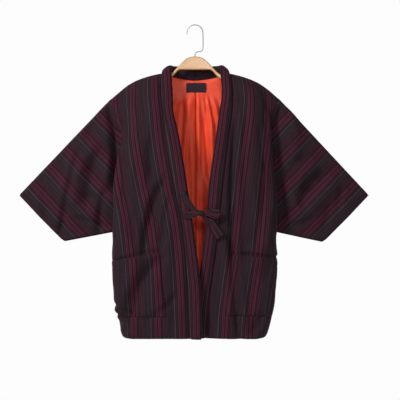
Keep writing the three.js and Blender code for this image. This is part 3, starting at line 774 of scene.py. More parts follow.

# %% [markdown]
# ## The creases of the body
# Each row below is one crease, from x1, z1 to x2, z2, with its width, depth and bow. The fronts have the
# long crease beside the right band, the one from the tie down to the left pocket and the bunched ones at
# the left hem. The backs can't be seen from the front, so they have similar ones, which is a guess.
# A simulation would put its creases elsewhere, so they are listed one by one.

# %% Body creases
CREASE_COLUMNS = "x1 z1 x2 z2 wide deep bow"
body_creases = {
    ("left", "front"): table(
        CREASE_COLUMNS,
        (84, -446, 143, -668, 13, 6.0, 12), (168, -420, 150, -590, 11, 2.2, 5),
        (120, -320, 122, -450, 13, 2.2, 5), (206, -330, 190, -540, 12, 2.6, 4),
        (104, -676, 206, -868, 19, 6.8, 8), (47, -778, 131, -851, 10, 2.4, -6),
        (60, -600, 62, -880, 11, 1.8, -3), (228, -806, 168, -842, 7, 3.6, 5),
        (226, -836, 182, -862, 6, 3.0, -4), (168, -790, 186, -846, 7, 3.0, -6),
        (220, -862, 186, -884, 7, 2.4, 3), (212, -640, 196, -760, 12, 2.2, 3),
        (92, -220, 80, -400, 9, 1.8, 2), (180, -230, 196, -330, 11, 2.0, -5),
        (70, -500, 92, -640, 10, 2.0, 5), (186, -560, 166, -640, 10, 1.6, 4),
        (202, -250, 208, -520, 13, 3.4, 3),
    ),
    ("right", "front"): table(
        CREASE_COLUMNS,
        (112, -280, 107, -660, 9, 6.6, -3), (106, -630, 130, -905, 11, 5.6, -4),
        (188, -300, 206, -430, 12, 2.4, -4), (200, -440, 176, -640, 12, 2.6, 5),
        (146, -400, 150, -560, 13, 2.0, -5), (84, -590, 112, -680, 10, 2.6, 5),
        (140, -190, 150, -330, 11, 1.6, 0), (216, -640, 204, -740, 10, 2.2, 3),
        (196, -830, 150, -900, 11, 2.0, 5), (70, -700, 84, -900, 11, 2.0, -3),
        (168, -720, 158, -850, 12, 1.5, -3), (196, -170, 210, -260, 9, 1.6, 3),
        (204, -250, 206, -540, 14, 4.2, 3),
    ),
    ("left", "back"): table(
        CREASE_COLUMNS,
        (196, -330, 120, -560, 13, 3.4, 12), (206, -420, 160, -700, 13, 3.2, 8),
        (40, -260, 52, -520, 14, 2.2, 5), (96, -560, 88, -860, 14, 2.4, -5),
        (220, -640, 188, -800, 12, 2.6, 6), (30, -620, 34, -880, 12, 1.8, 3),
        (150, -240, 168, -360, 12, 1.8, -5), (60, -190, 160, -215, 11, 1.5, -6),
        (200, -820, 150, -860, 9, 2.4, 4), (140, -720, 132, -880, 12, 1.8, 2),
    ),
    ("right", "back"): table(
        CREASE_COLUMNS,
        (192, -320, 130, -530, 13, 3.2, 12), (208, -450, 170, -720, 13, 3.4, 7),
        (50, -280, 44, -560, 14, 2.0, -5), (108, -600, 96, -880, 14, 2.6, 5),
        (222, -660, 200, -830, 12, 2.2, 5), (24, -560, 30, -820, 12, 1.6, 3),
        (140, -230, 160, -350, 12, 1.6, -4), (70, -195, 150, -210, 11, 1.4, -5),
        (206, -850, 160, -880, 9, 2.0, -4), (152, -700, 142, -860, 12, 1.7, 3),
    ),
}
# The widest folds are in the solids too: depth is how far the cloth sinks, or swells where it is negative.
body_folds = table(
    "side face out z wide tall lean depth",
    ("left", "front", 118, -500, 26, 170, -0.12, 7), ("left", "front", 165, -420, 30, 190, 0.1, -5),
    ("left", "front", 205, -840, 34, 26, 0, 7), ("right", "front", 104, -520, 22, 200, -0.1, 7),
    ("right", "front", 160, -430, 30, 190, 0.08, -5), ("left", "back", 62, -560, 30, 260, 0, -6),
    ("left", "back", 130, -520, 26, 240, 0.06, 8), ("right", "back", 70, -540, 32, 260, 0, -6),
    ("right", "back", 140, -500, 26, 240, 0.05, 8),
)


def fold_depth(side, face, out, z):
    """How far the wide folds sink one face of one side at out, z."""
    total = np.zeros_like(out)
    for f in body_folds:
        if f["side"] == side and f["face"] == face:
            across = (out - f["out"] - f["lean"] * (z - f["z"])) / f["wide"]
            total += f["depth"] * np.exp(-(across**2) - ((z - f["z"]) / f["tall"]) ** 2)
    return total


placed_by_hand = sum(len(rows) for rows in body_creases.values())
print("creases on the body:", placed_by_hand, "and wide folds:", len(body_folds))

# %% [markdown]
# ## The surface of a body half
# The rows are close together over the shoulder, where the cloth turns fast, and 5 mm apart below it.
# The cloth rolls in at every edge, as a wadded layer does where it is sewn, and the wadding thins there.
# It sinks most beside the neck band, and its edge goes on 5 mm into the band, so that no gap shows.

# %% Body surface
ROW_STEP, TURN_ROWS, BODY_COLUMNS = 5, 14, 96
TUCK, TUCK_DEEP, CUT_WIDE = 5, 4.6, 0.33
GROOVE_AT_NECK, GROOVE_BELOW, WADDING_HEIGHT = 2.0, 7.5, 1.5
BAND_ROLL, BACK_ROLL, SEAM_ROLL, HEM_ROLL = 15, 9, 10, 6
BODY_SEEDS = {"left": 3, "right": 7}
length = NECK_Z - HEM_Z
turn_rows = [SHOULDER_TURN * (1 - math.cos(math.pi / 2 * k / TURN_ROWS)) for k in range(TURN_ROWS + 1)]
drop_rows = turn_rows + [NECK_SHARE * length]
drop_rows += list(np.linspace(SHOULDER_TURN, length, round((length - SHOULDER_TURN) / ROW_STEP))[1:])
drops = np.array(drop_rows) / length
alongs = np.concatenate([-drops[::-1], drops[1:]])
shares = np.linspace(0, 1, BODY_COLUMNS)


def tuck(side, along):
    """The way from the body's inner edge into the neck band, TUCK long. The centre back seam has none."""
    if along > AFTER_NECK:
        return 0, 0, 0
    rows, key, at = collar_rows[side], "seam_z", mix(NECK_Z, HEM_Z, -along)
    if along > 0:
        rows, at = neck_station(side, along)
        key = "step"
    names = [("seam" + axis, "edge" + axis) for axis in ("_out", "_y", "_z")]
    way = [float(read(rows, key, edge, at) - read(rows, key, seam, at)) for seam, edge in names]
    return tuple(TUCK * part / math.hypot(*way) for part in way)


def body_surface(side):
    """The outer face of a body half with its folds and creases, and what is known at each point."""
    base = panel_grid(side, shares, alongs)
    tucked = np.array([tuck(side, along) for along in alongs])
    front = (alongs <= 0)[:, None]
    free = np.sin(np.pi * np.clip(shares / 0.8, 0, 1))[None, :]
    for face, here, sign in (("front", front, -1), ("back", ~front, 1)):
        sink = free * fold_depth(side, face, base[..., 0], base[..., 2])
        base[..., 1] -= np.where(here, sign * sink, 0)
    normal = facing(base)
    across = run_along(base, 1)
    from_seam = across[:, -1:] - across
    from_hem = run_along(base, 0)
    from_hem = np.minimum(from_hem, from_hem[-1:] - from_hem)
    out, z = base[..., 0], base[..., 2]
    drop = np.abs(alongs)[:, None] * length
    calm = smooth((drop - 10) / 60) * smooth(across / 25) * smooth(from_seam / 30)
    in_front = creases(body_creases[side, "front"], out, z)
    sink = np.where(front, in_front, creases(body_creases[side, "back"], out, z))
    down = alongs[:, None] * length + 0 * across
    lift = -calm * sink + calm * wadding(across, down, BODY_SEEDS[side], height=WADDING_HEIGHT)
    at_band = 1 - smooth((alongs - NECK_SHARE) / 0.012)[:, None]
    deepens = np.where(front, smooth((drop - 6) / 40), 0)
    groove = mix(GROOVE_AT_NECK, GROOVE_BELOW, deepens)
    lift -= sunk(across, BAND_ROLL, 1.0) * groove * at_band + sunk(across, BACK_ROLL, 2.6) * (1 - at_band)
    lift -= sunk(from_seam, SEAM_ROLL, 3.0) + sunk(from_hem, HEM_ROLL, 3.2)
    lift[:, 0] = np.maximum(lift[:, 0], -TUCK_DEEP)
    pinch = at_band * np.where(front, 1 - smooth((drop - 4) / 20), 1)
    filling = full(across, mix(9, 18, pinch), mix(0.3, 0.06, pinch))
    filling = filling * full(from_seam, SEAM_ROLL, 0.3) * full(from_hem, HEM_ROLL, 0.12)
    base[:, 0] += tucked
    edge_out = np.array([inner_edge(side, along)[0] for along in alongs])[:, None]
    start = np.where(front, 0, edge_out - collar_rows["left"][0]["seam_out"])
    return base, normal, lift, across + start, filling


body_faces = {side: body_surface(side) for side in ("left", "right")}
print("points on a body half:", len(alongs), "by", BODY_COLUMNS)

# %% [markdown]
# ## The two halves of the body
# Each half is one sheet with a wall of 6 mm, which stands for cotton, wadding and lining together. Its
# stripes run straight down from the shoulder and mirror those of the other half about the centre back
# seam. The front sags a little just above each pocket's mouth, which shows as a dark line.

# %% Body pieces
LIGHT_LINE = {"left": 41, "right": 35}
mouth_hollows = {
    "left": table(CREASE_COLUMNS, (232, -686, 150, -664, 5, 2.0, 0), (154, -664, 100, -656, 5, 3.2, 0)),
    "right": table(CREASE_COLUMNS, (108, -660, 240, -674, 5, 2.4, 0)),
}
for side, (base, normal, lift, stripe, filling) in body_faces.items():
    way = 1 if side == "left" else -1
    hollow = creases(mouth_hollows[side], base[..., 0], base[..., 2])
    lift = lift - np.where((alongs < 0)[:, None], hollow, 0)
    weave = weave_map(way * (stripe - LIGHT_LINE[side]), (alongs * length)[:, None])
    shape = grid_shape(base + normal * lift[..., None], weave, side, normal)
    piece = new_piece("coat_body_" + side, shape, [cotton, satin], "body_" + side)
    give_wall(piece, WALL, filling)

# %% [markdown]
# ## The creases of the sleeves
# A hanging sleeve is pulled down by its own weight, so it has wide hollows that run from the shoulder
# towards the cuff's lower corner, a deep one along the armhole, and short ones at the underarm.

# %% Sleeve creases
sleeve_creases = {
    ("left", "front"): table(
        CREASE_COLUMNS,
        (338, -372, 388, -606, 10, 4.4, 4), (276, -362, 316, -528, 25, 8.4, 4),
        (262, -480, 276, -606, 12, 4.0, 3), (244, -226, 232, -470, 16, 8.4, -12),
        (236, -560, 320, -490, 11, 2.6, 6), (250, -592, 350, -566, 9, 2.0, 5),
        (300, -300, 330, -380, 12, 1.8, -4), (440, -480, 424, -560, 10, 1.8, 3),
        (450, -520, 430, -548, 8, 1.8, 3),
    ),
    ("right", "front"): table(
        CREASE_COLUMNS,
        (322, -384, 266, -452, 19, 8.0, -6), (376, -434, 302, -516, 22, 9.0, -7),
        (234, -205, 257, -570, 25, 9.0, -5), (244, -560, 330, -500, 11, 2.4, -6),
        (250, -592, 346, -560, 9, 2.0, -5), (262, -262, 290, -330, 10, 1.6, -3),
        (392, -520, 372, -604, 11, 2.0, 4), (430, -470, 412, -560, 10, 1.6, -3),
    ),
    ("left", "back"): table(
        CREASE_COLUMNS,
        (240, -550, 330, -420, 12, 3.2, -8), (250, -590, 360, -545, 10, 2.4, -5),
        (258, -320, 270, -520, 12, 3.0, -6), (352, -390, 384, -570, 11, 2.6, 5),
        (300, -330, 360, -380, 11, 1.8, 3),
    ),
    ("right", "back"): table(
        CREASE_COLUMNS,
        (242, -555, 322, -440, 12, 3.0, 8), (250, -592, 352, -552, 10, 2.4, 6),
        (256, -330, 262, -530, 12, 3.2, 6), (348, -380, 372, -580, 11, 2.8, -5),
        (300, -310, 350, -372, 11, 1.6, -4),
    ),
}
print("creases on the sleeves:", sum(len(rows) for rows in sleeve_creases.values()))

# %% [markdown]
# ## The shape of a sleeve
# A sleeve is one length of cloth folded along the top and sewn below into a flat wide tube. The tube could
# be simulated, but it hangs almost flat, so its section is worked out: round at both edges and swelling
# between armhole and cuff. At the armhole it goes on 5 mm under the body's edge, as a seam allowance
# does. Where that edge turns back inwards, the sleeve spreads behind it as a hidden lip.

# %% Sleeve shape
SLEEVE_INSET, SLEEVE_LIP, SLEEVE_UNDER = 2.2, 9, 0.016
SLEEVE_ROWS, FLAT_COLUMNS, TURN_COLUMNS = 74, 58, 6
EDGE_SHARE = 0.041
edge_turn = [EDGE_SHARE * (1 - math.cos(math.pi / 2 * k / TURN_COLUMNS)) for k in range(TURN_COLUMNS + 1)]
half_way = edge_turn + list(np.linspace(EDGE_SHARE, 1 - EDGE_SHARE, FLAT_COLUMNS)[1:-1])
half_way += [1 - share for share in reversed(edge_turn)]
down_shares = np.array(half_way + half_way[-2::-1])
is_front = np.arange(len(down_shares)) < len(half_way)
sleeve_alongs = np.linspace(-SLEEVE_UNDER, 1, SLEEVE_ROWS)


def sleeve_grid(side):
    """The outer face of a sleeve: a row for each share along it, and a column for each point round it."""
    cuff = cuffs[side]
    top_z = float(shoulder_z(shoulder_starts(side)[3]))
    down = down_shares[None, :]
    along = sleeve_alongs[:, None]
    arm_z = mix(top_z, UNDERARM_Z, down)
    arm_out = read(sides, "z", side + "_seam", arm_z) + ARMHOLE_GAP
    out = mix(arm_out, mix(cuff["top_out"], cuff["low_out"], down), along)
    z = mix(arm_z, mix(cuff["top_z"], cuff["low_z"], down), along)
    cuff_height = math.hypot(cuff["top_out"] - cuff["low_out"], cuff["top_z"] - cuff["low_z"])
    height = mix(top_z - UNDERARM_Z, cuff_height, along)
    swell = np.sin(np.pi * np.clip(along * 1.2, 0, 1)) * (SLEEVE_DEPTH - ARMHOLE_DEPTH)
    depth = mix(ARMHOLE_DEPTH, CUFF_DEPTH, along) + swell
    inset = SLEEVE_INSET * np.clip(1 - along / 0.06, 0, 1)
    half = round_edge(np.minimum(down, 1 - down) * height, depth + 0 * down) * (1 - inset / depth)
    turned = smooth((read(sides, "z", side + "_fold", arm_z) - arm_out + 12) / 14)
    half = half * (1 + SLEEVE_LIP / ARMHOLE_DEPTH * turned * np.clip(-along / SLEEVE_UNDER, 0, 1))
    y = np.where(is_front[None, :], -1, 1) * half
    return np.stack([out, y, z], axis=2)


print("points on a sleeve:", SLEEVE_ROWS, "by", len(down_shares))

# %% [markdown]
# ## The sleeves
# The stripes of a sleeve run the other way, level with the cuff, because its length is cut across the
# body's. They go on round the underside, as on the real coat. The cloth rolls in at the armhole, the cuff
# and the underarm, and creases fade out before all of them.

# %% Sleeves
SLEEVE_LIGHT_LINE = 101
ARMHOLE_ROLL, CUFF_ROLL, UNDER_ROLL = 12, 6, 7
SLEEVE_SEEDS = {"left": 21, "right": 33}
BACK_APART = 400
for side in ("left", "right"):
    base = sleeve_grid(side)
    normal = facing(base)
    normal[:, [0, -1]] = np.array([0, 0, 1.0])
    out, z = base[..., 0], base[..., 2]
    cuff = cuffs[side]
    run = np.array([cuff["low_out"] - cuff["top_out"], cuff["low_z"] - cuff["top_z"]], float)
    run /= np.linalg.norm(run)
    level = (out - cuff["top_out"]) * run[0] + (z - cuff["top_z"]) * run[1]
    from_cuff = (out - cuff["top_out"]) * run[1] - (z - cuff["top_z"]) * run[0]
    from_armhole = run_along(base, 0)
    to_cuff = from_armhole[-1:] - from_armhole
    round_it = run_along(base, 1)
    from_fold = np.minimum(round_it, round_it[:, -1:] - round_it)
    from_under = np.abs(round_it - round_it[:, len(half_way) - 1][:, None])
    calm = smooth((from_armhole - 6) / 13) * smooth(from_fold / 22) * smooth(from_under / 18)
    in_front = creases(sleeve_creases[side, "front"], out, z)
    sink = np.where(is_front[None, :], in_front, creases(sleeve_creases[side, "back"], out, z))
    apart = np.where(is_front, 0, BACK_APART)[None, :]
    uneven = wadding(level + apart, from_cuff, SLEEVE_SEEDS[side], height=WADDING_HEIGHT)
    settled = smooth(from_armhole / 12) * smooth(from_fold / 12) * smooth(from_under / 12)
    lift = -calm * sink + settled * uneven
    lift -= sunk(from_armhole, ARMHOLE_ROLL, 2.4) + sunk(to_cuff, CUFF_ROLL, 3.0)
    lift -= sunk(from_under, UNDER_ROLL, 1.8)
    filling = full(from_armhole, ARMHOLE_ROLL, 0.3) * full(to_cuff, CUFF_ROLL, 0.12)
    filling = filling * full(from_under, UNDER_ROLL, 0.5)
    lowest = level[:, len(half_way) - 1][:, None]
    round_level = np.where(is_front[None, :], level, 2 * lowest - level)
    weave = weave_map(SLEEVE_LIGHT_LINE - from_cuff, round_level)
    shape = grid_shape(base + normal * lift[..., None], weave, side, normal, closed=True)
    piece = new_piece("coat_sleeve_" + side, shape, [cotton, satin], "sleeve_" + side)
    give_wall(piece, WALL, filling[:, :-1])

# %% [markdown]
# ## The neck band
# The band is a long strip folded round a roll of wadding and sewn over the raw edge of both fronts and the
# neck. It could be a sheet with a cushion inside, but the roll never opens, so a rounded section carried
# along two edge lines gives it: the line of the seam and the line of the free edge. The ties are made by
# the same two functions.

# %% Rounded bands


def band_grid(first, second, thick, gap, around, start=None, flatness=(0.85, 0.9)):
    """A rounded band between two edge lines. Its columns start at the middle of the hidden face."""
    middle = (first + second) / 2
    half = (second - first) / 2
    run = np.gradient(middle, axis=0)
    if start is not None:
        run[0] = start
    normal = np.cross(half, run)
    normal /= np.linalg.norm(normal, axis=1, keepdims=True)
    width = np.linalg.norm(half, axis=1, keepdims=True)
    half = half * (width - gap) / width
    angle = np.linspace(-math.pi / 2, 3 * math.pi / 2, around + 1)
    wide = np.sign(np.cos(angle)) * np.abs(np.cos(angle)) ** flatness[0]
    high = np.sign(np.sin(angle)) * np.abs(np.sin(angle)) ** flatness[1]
    thick = np.broadcast_to(np.asarray(thick, float), len(first))
    grid = middle[:, None] + half[:, None] * wide[None, :, None]
    return grid + normal[:, None] * (high[None, :] * thick[:, None] / 2)[..., None], angle


def lines_of(rows, names, steps):
    """The two edge lines of a band, from a table whose rows are its stations."""
    rows = numbered(rows)
    at = np.linspace(0, len(rows) - 1, (len(rows) - 1) * steps + 1)
    return [np.stack([read(rows, "step", name, at) for name in group], axis=1) for group in names]


BAND_NAMES = (("seam_out", "seam_y", "seam_z"), ("edge_out", "edge_y", "edge_z"))
print("stations along the neck band:", len(neck_rows) + len(collar_rows["left"]))

# %% [markdown]
# ## The neck band's two halves
# The stripes run along the band. A slow unevenness puckers it a little, as wadding does inside a strip
# that is sewn by hand, and its ends are rounded off at the hem. The two halves meet at the centre back.

# %% Neck band
BAND_STEPS, BAND_ROUND = 9, 44
BAND_STRIPE, BAND_END, BAND_SWELL = 31, 6, 2.5
BAND_SEEDS = {"left": 51, "right": 63}
for side in ("left", "right"):
    first, second = lines_of([*neck_rows, *collar_rows[side]], BAND_NAMES, BAND_STEPS)
    base, angle = band_grid(first, second, COLLAR_THICK + BAND_SWELL, SEAM_GAP, BAND_ROUND, start=(1, 0, 0))
    normal = -facing(base)
    down = run_along(base, 0).mean(axis=1)[:, None]
    round_it = run_along(base, 1)
    edge_column = int(np.argmin(np.abs(angle)))
    from_edge = round_it - round_it[:, edge_column][:, None]
    everywhere = down + 0 * from_edge
    uneven = wadding(from_edge, everywhere, BAND_SEEDS[side], size=20, stretch=1.2, height=1.1)
    lift = uneven - sunk(everywhere[-1:] - everywhere, BAND_END, 4.0) - sunk(everywhere, 4, 1.0)
    weave = weave_map(BAND_STRIPE + from_edge, down)
    shape = grid_shape(base + normal * lift[..., None], weave, side, normal, closed=True, caps=True)
    piece = new_piece("coat_band_" + side, shape, [cotton], "collar_" + side)
    print(piece.name, "length", round(float(down[-1, 0])), "mm")

# %% [markdown]
# ## The back lining
# Through the neck and the open front the lining of the back shows. It is a light plain cloth, cut in two
# halves with a seam down the middle, and a little longer than the coat, so it hangs in soft upright
# folds. It lies just inside the body's wall and follows it, moved further in where a fold stands up. It could
# be a simulated sheet, but it is held at its top and sides, so it has little room to move.

# %% Back lining
LINING_GAP, LINING_THICK, LINING_SHARE, LINING_FOOT = 0.9, 0.7, 0.8, 0.985
LINING_EASE, LINING_MOST, LINING_SEAM, LINING_TURN, LABEL_FOOT = 13, 19, 4, 5, 8
LINING_SEEDS = {"left": 71, "right": 83}
lining_folds = {
    "left": table(
        CREASE_COLUMNS,
        (40, -216, 50, -420, 10, 8.6, 0), (15, -196, 24, -340, 9, -3.0, 0), (20, -290, 24, -560, 5, 2.4, 2),
        (16, -430, 14, -800, 7, 2.6, 2), (62, -200, 56, -330, 7, 2.2, -3), (36, -560, 30, -860, 8, 2.8, -3),
        (100, -260, 96, -700, 11, 3.2, 4),
    ),
    "right": table(
        CREASE_COLUMNS,
        (26, -262, 40, -440, 8, 7.0, 2), (10, -210, 12, -420, 5, -2.6, 0), (38, -190, 60, -300, 5, 4.4, 3),
        (54, -168, 78, -262, 5, 4.4, 3), (30, -196, 42, -290, 4, 3.0, -2), (20, -470, 22, -820, 7, 2.6, -2),
        (60, -380, 52, -640, 8, 3.0, 3), (100, -250, 104, -720, 11, 3.0, -4), (40, -600, 36, -880, 7, 2.4, 2),
    ),
}
lining_columns = shares <= LINING_SHARE
lining_rows = (alongs > AFTER_NECK) & (alongs <= LINING_FOOT)
for side, (base, normal, lift, stripe, filling) in body_faces.items():
    pick = np.ix_(lining_rows, lining_columns)
    out, z = base[..., 0][pick], base[..., 2][pick]
    across = run_along(base[pick], 1)
    from_top = run_along(base[pick], 0)
    sink = creases(lining_folds[side], out, z)
    seam = 3.6 * np.exp(-((across / 3.5) ** 2))
    ruck = wadding(out, z, LINING_SEEDS[side], size=42, stretch=5, height=2.0)
    calm = smooth((from_top - LABEL_FOOT) / 50)
    eased = calm * (LINING_EASE - sink - seam + ruck).clip(0, LINING_MOST)
    inwards = WALL * filling[pick] + LINING_GAP + eased
    aside = smooth(across / 60)[..., None]
    way_out = mix(np.array([0, 1.0, 0]), normal[pick], aside)
    grid = base[pick] + way_out * (lift[pick] - inwards)[..., None]
    grid[:, 0, 0] = -LINING_SEAM if side == "left" else LINING_SEAM
    grid[0, :, 2] += LINING_TURN
    grid[0, :, 1] += 0.4 * WALL * filling[pick][0]
    shape = grid_shape(grid, weave_map(across, from_top), side, -normal[pick])
    piece = new_piece("coat_lining_" + side, shape, [satin, satin], "lining_" + side)
    give_wall(piece, LINING_THICK)

# %% [markdown]
# ## The patch pockets
# A patch pocket is a square of the same wadded cloth sewn on round three sides. Its mouth is hemmed and
# stands a little open. It is made from points of the front itself, moved out, so it follows every
# fold below it. Its stripes miss the front's by a few millimetres, as on the real coat. The table gives
# its corners as shares across and down the front, how far the mouth gapes and how far the stripes miss.

# %% Patch pockets
POCKET_GAP, POCKET_THICK, POCKET_HEM, POCKET_SWELL = 0.5, 3.0, 18, 1.6
POCKET_ROLL, MOUTH_ROLL, LEAST_RAISED = 6, 3, 1.0
POCKET_ROWS, POCKET_COLUMNS, WEAVE_APART = 46, 40, 3000
pockets = table(
    "side in_top in_low out mouth_in mouth_out foot gape miss seed",
    ("left", 0.265, 0.24, 0.84, 0.678, 0.7, 0.916, 6.5, 5, 91),
    ("right", 0.23, 0.23, 0.85, 0.683, 0.69, 0.91, 4.5, -4, 99),
)


def on_body(values, across, along):
    """Values known on the body's grid, read at shares across and along it."""
    i = across * (BODY_COLUMNS - 1)
    j = np.interp(along, alongs, np.arange(len(alongs)))
    i0 = np.clip(np.floor(i).astype(int), 0, BODY_COLUMNS - 2)
    j0 = np.clip(np.floor(j).astype(int), 0, len(alongs) - 2)
    fi, fj = i - i0, j - j0
    if values.ndim == 3:
        fi, fj = fi[..., None], fj[..., None]
    low = values[j0, i0] * (1 - fi) + values[j0, i0 + 1] * fi
    high = values[j0 + 1, i0] * (1 - fi) + values[j0 + 1, i0 + 1] * fi
    return low * (1 - fj) + high * fj


for pocket in pockets:
    side = pocket["side"]
    base, normal, lift, stripe, filling = body_faces[side]
    down, way = np.linspace(1, 0, POCKET_ROWS)[:, None], np.linspace(0, 1, POCKET_COLUMNS)[None, :]
    across = mix(mix(pocket["in_top"], pocket["in_low"], down), pocket["out"], way)
    along = -mix(mix(pocket["mouth_in"], pocket["mouth_out"], way), pocket["foot"], down)
    under = on_body(base + normal * lift[..., None], across, along)
    ahead = on_body(normal, across, along)
    round_x, round_z = run_along(under, 1), run_along(under, 0)
    from_side = np.minimum(round_x, round_x[:, -1:] - round_x)
    from_foot, from_mouth = round_z, round_z[-1:] - round_z
    gape = pocket["gape"] * np.sin(np.pi * way**0.8) * np.clip(1 - 1.5 * down, 0, 1) ** 2
    hem_line = 0.9 * np.exp(-(((from_mouth - POCKET_HEM) / 2.2) ** 2))
    swell = POCKET_SWELL * smooth(from_side / 22) * smooth(from_foot / 22)
    raised = POCKET_GAP + POCKET_THICK + swell + gape - hem_line
    raised -= sunk(from_side, POCKET_ROLL, 2.2) + sunk(from_foot, POCKET_ROLL, 2.2)
    raised -= sunk(from_mouth, MOUTH_ROLL, 1.0)
    raised += wadding(under[..., 0], under[..., 2], pocket["seed"], size=30, height=0.8)
    marks = on_body(stripe, across, along) - LIGHT_LINE[side] + pocket["miss"]
    weave = weave_map(marks if side == "left" else -marks, along * length + WEAVE_APART)
    shape = grid_shape(under + ahead * np.maximum(raised, LEAST_RAISED)[..., None], weave, side, ahead)
    piece = new_piece("coat_pocket_" + side, shape, [cotton, cotton], "pocket_" + side)
    thinned = full(from_side, POCKET_ROLL, 0.3) * full(from_foot, POCKET_ROLL, 0.3)
    give_wall(piece, POCKET_THICK, thinned * full(from_mouth, MOUTH_ROLL, 0.5))

# %% [markdown]
# ## The ways of the ties
# Each front has a tie: a strip folded lengthwise and sewn into a flat tube. The two are tied at the
# chest, with a short loop to each side and one tail hanging down. A rope simulation could tie them, but
# where each stretch ends up is plain to see, so the two edges of each are listed instead.

# %% Ways of the ties
RIBBON_COLUMNS = "x1 y1 z1 x2 y2 z2"
ribbons = {
    "tie_left": table(
        RIBBON_COLUMNS,
        (-24, -74.5, -482, -37, -71.5, -487), (-26, -78.3, -489, -41, -76.3, -495),
        (-14, -80.2, -508, -31, -79.2, -519), (0, -82, -529, -12, -82, -539),
        (12.6, -82, -538.8, 8, -82, -546), (18, -80, -543, 16, -80, -549),
    ),
    "bow_loop_left": table(
        RIBBON_COLUMNS,
        (16, -80, -545, 17, -80, -551), (8, -83, -547, 9, -83, -555),
        (-8, -81.7, -542, -6, -81.7, -562), (-24, -79.6, -541, -22, -79.6, -564),
        (-36, -77.1, -545, -35, -77.1, -561),
    ),
    "tie_right": table(
        RIBBON_COLUMNS,
        (24, -77, -544, 24, -77, -550), (31.3, -76, -542, 31.3, -76, -552),
        (44, -76.2, -536, 44, -76.2, -552), (58, -76.2, -533, 58, -76.2, -553),
    ),
    "bow_loop_right": table(
        RIBBON_COLUMNS,
        (23, -82, -545, 23, -82, -550), (31.4, -84, -542, 31.4, -84, -552),
        (46, -84.4, -536, 45, -84.4, -560), (62, -84.4, -536, 60, -84.4, -563),
        (76, -82, -541, 73, -82, -560),
    ),
    "tie_tail": table(
        RIBBON_COLUMNS,
        (17, -80, -549, 24, -80, -547), (20, -80, -557.5, 29, -80, -554.5),
        (29, -78, -573, 50, -78, -567), (40, -75.5, -592, 64, -77, -581),
        (52, -73, -611, 76, -74.5, -598), (61, -71, -624, 84, -73, -609),
    ),
}
RIBBON_NAMES = (("x1", "y1", "z1"), ("x2", "y2", "z2"))
TIE_STRIPES = {"tie_left": -8, "bow_loop_left": 16, "tie_right": 30, "bow_loop_right": 30, "tie_tail": -9}
print("stretches of the ties:", len(ribbons))

# %% [markdown]
# ## The ties
# Each stretch is a thin-walled tube between its two edge lines. Creases run along it and gather towards
# the knot, and the loops have one more along their middle, where they are folded over. The left tie is
# listed from its seam to the knot and all others from the knot outwards.

# %% Ties
TIE_THICK, TIE_WALL, TIE_STEPS, TIE_ROUND = 5, 0.8, 12, 28
TIE_SEED, GATHER_REACH = 111, 22
for seed, (name, rows) in enumerate(ribbons.items()):
    first, second = lines_of(rows, RIBBON_NAMES, TIE_STEPS)
    base, angle = band_grid(first, second, TIE_THICK, 0, TIE_ROUND, flatness=(0.8, 0.8))
    normal = facing(base)
    if (normal * (base - base.mean(axis=1, keepdims=True))).sum() < 0:
        normal = -normal
    down = run_along(base, 0).mean(axis=1)[:, None]
    round_it = run_along(base, 1)
    share = np.cos(angle)[None, :]
    from_knot, to_end = (down[::-1], down) if name == "tie_left" else (down, down[-1:] - down)
    middle, end_roll, end_depth = (1.5, 5, 2.2) if "loop" in name else (0.4, 3, 1.4)
    gathered = 1.3 * np.exp(-(((share - 0.3) / 0.16) ** 2)) + 1.1 * np.exp(-(((share + 0.35) / 0.15) ** 2))
    folded = middle * np.exp(-(((share + 0.02) / 0.13) ** 2))
    lift = -np.exp(-from_knot / GATHER_REACH) * gathered - folded * smooth(from_knot / 20)
    everywhere = down + 0 * round_it
    lift = lift + wadding(round_it, everywhere, TIE_SEED + seed, size=11, stretch=1.6, height=0.6)
    lift -= sunk(to_end, end_roll, end_depth)
    weave = weave_map(TIE_STRIPES[name] + round_it, down)
    shape = grid_shape(base + normal * lift[..., None], weave, "right", normal, closed=True, caps=True)
    piece = new_piece("coat_" + name, shape, [cotton, cotton], name)
    give_wall(piece, TIE_WALL)

# %% [markdown]
# ## The knot
# The knot is the right tie wound once more round the left one. So small and tight a roll never shows its
# inside, so it is a rounded lump with two winding grooves, one deep and one shallow, which run askew
# round it like the edges of the cloth. Blender lists a new sphere's faces in another order on each run,
# so they are sorted, and every run gives the same mesh.

# %% Knot
knot = {"place": (20, -81, -547.5), "half": (11.5, 8.5, 9)}
WOUND_SLANT, WOUND_START, GROOVE_DEEP = 1.5, 5.3, 0.17


def sort_faces(shape):
    """Sort the faces by their points."""
    shape.verts.index_update()
    many = len(shape.verts)

    def place(face):
        """One number from the first three points of a face, which no other face shares."""
        first, second, third = sorted(vertex.index for vertex in face.verts)[:3]
        return (first * many + second) * many + third

    shape.faces.sort(key=place)
    shape.faces.index_update()


shape = bmesh.new()
layer = shape.loops.layers.uv.new("weave")
bmesh.ops.create_uvsphere(shape, u_segments=64, v_segments=40, radius=1)
sort_faces(shape)
bmesh.ops.rotate(shape, verts=shape.verts, matrix=Matrix.Rotation(math.pi / 2, 3, "Y"))
for vertex in shape.verts:
    turn = math.atan2(vertex.co.z, -vertex.co.y)
    wound = math.fmod(vertex.co.x * WOUND_SLANT + turn / math.pi + WOUND_START, 1.0)
    groove = math.exp(-(((wound - 0.5) / 0.13) ** 2)) + 0.5 * math.exp(-(((wound - 0.1) / 0.07) ** 2))
    vertex.co *= 1 - GROOVE_DEEP * groove * (1 - abs(vertex.co.x) ** 4)
bmesh.ops.scale(shape, verts=shape.verts, vec=knot["half"])
for face in shape.faces:
    for loop in face.loops:
        co = loop.vert.co
        loop[layer].uv = ((co.x + knot["place"][0]) * MM, (co.z + co.y) * MM)
bmesh.ops.translate(shape, verts=shape.verts, vec=knot["place"])
